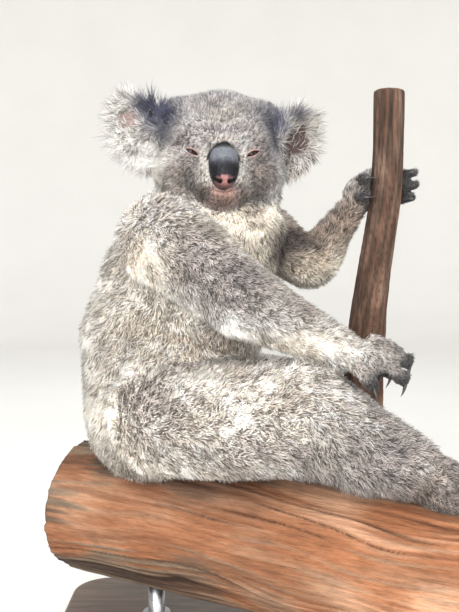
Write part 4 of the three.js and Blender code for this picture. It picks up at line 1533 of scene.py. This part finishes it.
def makeStem():
    mesh, places, normals = smoothedWood("perch_stem", stemForm["voxel"])
    height = places[:, 2] / mm
    x, y, levels = zip(*stemForm["line"])
    middle = np.stack([np.interp(height, levels, x), np.interp(height, levels, y)], 1)
    away = places[:, :2] / mm - middle
    turn = np.arctan2(away[:, 1], away[:, 0]) + 0.25 * np.sin(height / 120)
    radius = np.hypot(*away.T)
    ridges = ringWaves(height, turn, 90, 20, 71)
    flakes = ringWaves(height, turn, 75, 8, 72)
    groove = band(ringWaves(height, turn, 110, 7, 73), 0.26)
    barrel = 1 - ease(normals[:, 2], 0.5, 0.85) * ease(height, 640, 648)
    relief = stemForm["fibre"] * ridges + stemForm["flake"] * flakes - stemForm["groove"] * groove
    rise = relief * stemForm["ridge"] * barrel
    writePlaces(mesh, places + normals * rise[:, None] * mm)
    patches = ringWaves(height, turn, 22, 3, 74)
    lit = ease(ridges * 0.25 + flakes * 0.4 + patches * 0.7, -1, 1.4)
    bark = overlaid(stemTones["shade"], [
        (stemTones["lit"], lit),
        (stemTones["flake"], 0.6 * ease(flakes, 0.4, 1.6)),
        (stemTones["groove"], 0.55 * groove),
        # Painted shade down the stem's left side.
        (stemTones["worn"], 0.45 * ease(-away[:, 0], 8, 20)),
        (stemTones["foot"], 0.5 * (1 - np.clip((height - 150) / 500, 0, 1)) ** 2),
    ])
    cut = overlaid(stemTones["heart"], [
        (stemTones["sapwood"], ease(radius, 3, 15)),
        (stemTones["rim"], ease(radius, 16.5, 18.5)),
    ])
    paintWood(mesh, cut, bark, barrel)
    addPiece("stem", mesh, stemMaterial(), ["perch_stem"])


makeLimb()
makeStem()
print("wood made")

standForm = {"corner": 46, "edge": 3.0, "collar": (17, 5), "steps": 18}  # millimetres
boardTones = [(0.25, (0.17, 0.115, 0.085)), (0.5, (0.27, 0.19, 0.14)), (0.75, (0.36, 0.26, 0.19))]
steelTones = [(0.3, (0.55, 0.55, 0.56)), (0.7, (0.70, 0.70, 0.71))]


def roundedOutline(halfX, halfY, corner):
    points = []
    for k, (sx, sy) in enumerate(((1, 1), (-1, 1), (-1, -1), (1, -1))):
        for angle in np.radians(np.linspace(90 * k, 90 * k + 90, standForm["steps"])):
            x = sx * (halfX - corner) + corner * math.cos(angle)
            y = sy * (halfY - corner) + corner * math.sin(angle)
            points.append((x, y))
    return np.array(points)


def boardMaterial():
    material, tree, shader = newMaterial("standBoard", specular=0.45, glaze=0.25, glazeRough=0.25)
    where = mapped(tree, objectPlaces(tree), Scale=(7, 75, 75))
    grain = noiseNode(tree, where, 1, 7, 0.65, 1.2)
    setLook(tree, shader, ramp(tree, grain, boardTones), rescaled(tree, grain, 0.5, 0.34))
    addBump(tree, shader, grain, 0.0006, 0.35)
    return material


def makeBoard():
    low, high = (np.array(side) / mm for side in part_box("stand_base"))
    middle, half, edge = (low + high) / 2, (high - low) / 2, standForm["edge"]
    levels = [(edge, low[2]), (edge * 0.3, low[2] + edge * 0.3), (0, low[2] + edge)]
    for k in range(7):  # the rounded upper edge
        angle = math.radians(90 * k / 6)
        levels.append((edge * 1.6 * (1 - math.cos(angle)), high[2] - edge * 1.6 * (1 - math.sin(angle))))
    levels += [(inset, high[2]) for inset in (12, 30, 60, 100, 140)]
    rings = []
    for inset, height in levels:
        outline = roundedOutline(half[0] - inset, half[1] - inset, max(standForm["corner"] - inset, 2))
        rings.append(np.column_stack([outline + middle[:2], np.full(len(outline), height)]) * mm)
    addPiece("board", gridShell("board", rings), boardMaterial(), ["stand_base"])


def steelMaterial():
    material, tree, shader = newMaterial("brushedSteel", rough=0.3, metal=1.0)
    brushed = noiseNode(tree, mapped(tree, objectPlaces(tree), Scale=(60, 60, 2600)), 1, 4)
    setLook(tree, shader, ramp(tree, brushed, steelTones), rescaled(tree, brushed, 0.24, 0.40))
    addBump(tree, shader, brushed, 0.0002, 0.3)
    return material


def makeRod(node, material):
    low, high = (np.array(side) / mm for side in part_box(node))
    middle, radius = (low + high) / 2, (high - low)[:2].max() / 2
    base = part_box("stand_base")[1][2] / mm
    wide, tall = standForm["collar"]
    collarTop = base + tall
    profile = [
        (radius, low[2]), (radius, base - 1), (wide - 1, base - 0.5), (wide, base + 0.6),
        (wide, collarTop - 1.4), (wide - 0.5, collarTop - 0.4), (wide - 1.4, collarTop),
        (radius + 1.2, collarTop), (radius + 0.3, collarTop + 0.3), (radius, collarTop + 1.2),
        (radius, high[2]),
    ]
    turns = roundTurns(64)
    rings = [(ringAt(turns, r, z) + (middle[0], middle[1], 0)) * mm for r, z in profile]
    addPiece(f"steel_{node}", gridShell(node, rings), material, [node])


makeBoard()
steel = steelMaterial()
for rodName in ("stand_rod_1", "stand_rod_2"):
    makeRod(rodName, steel)
print("stand made")
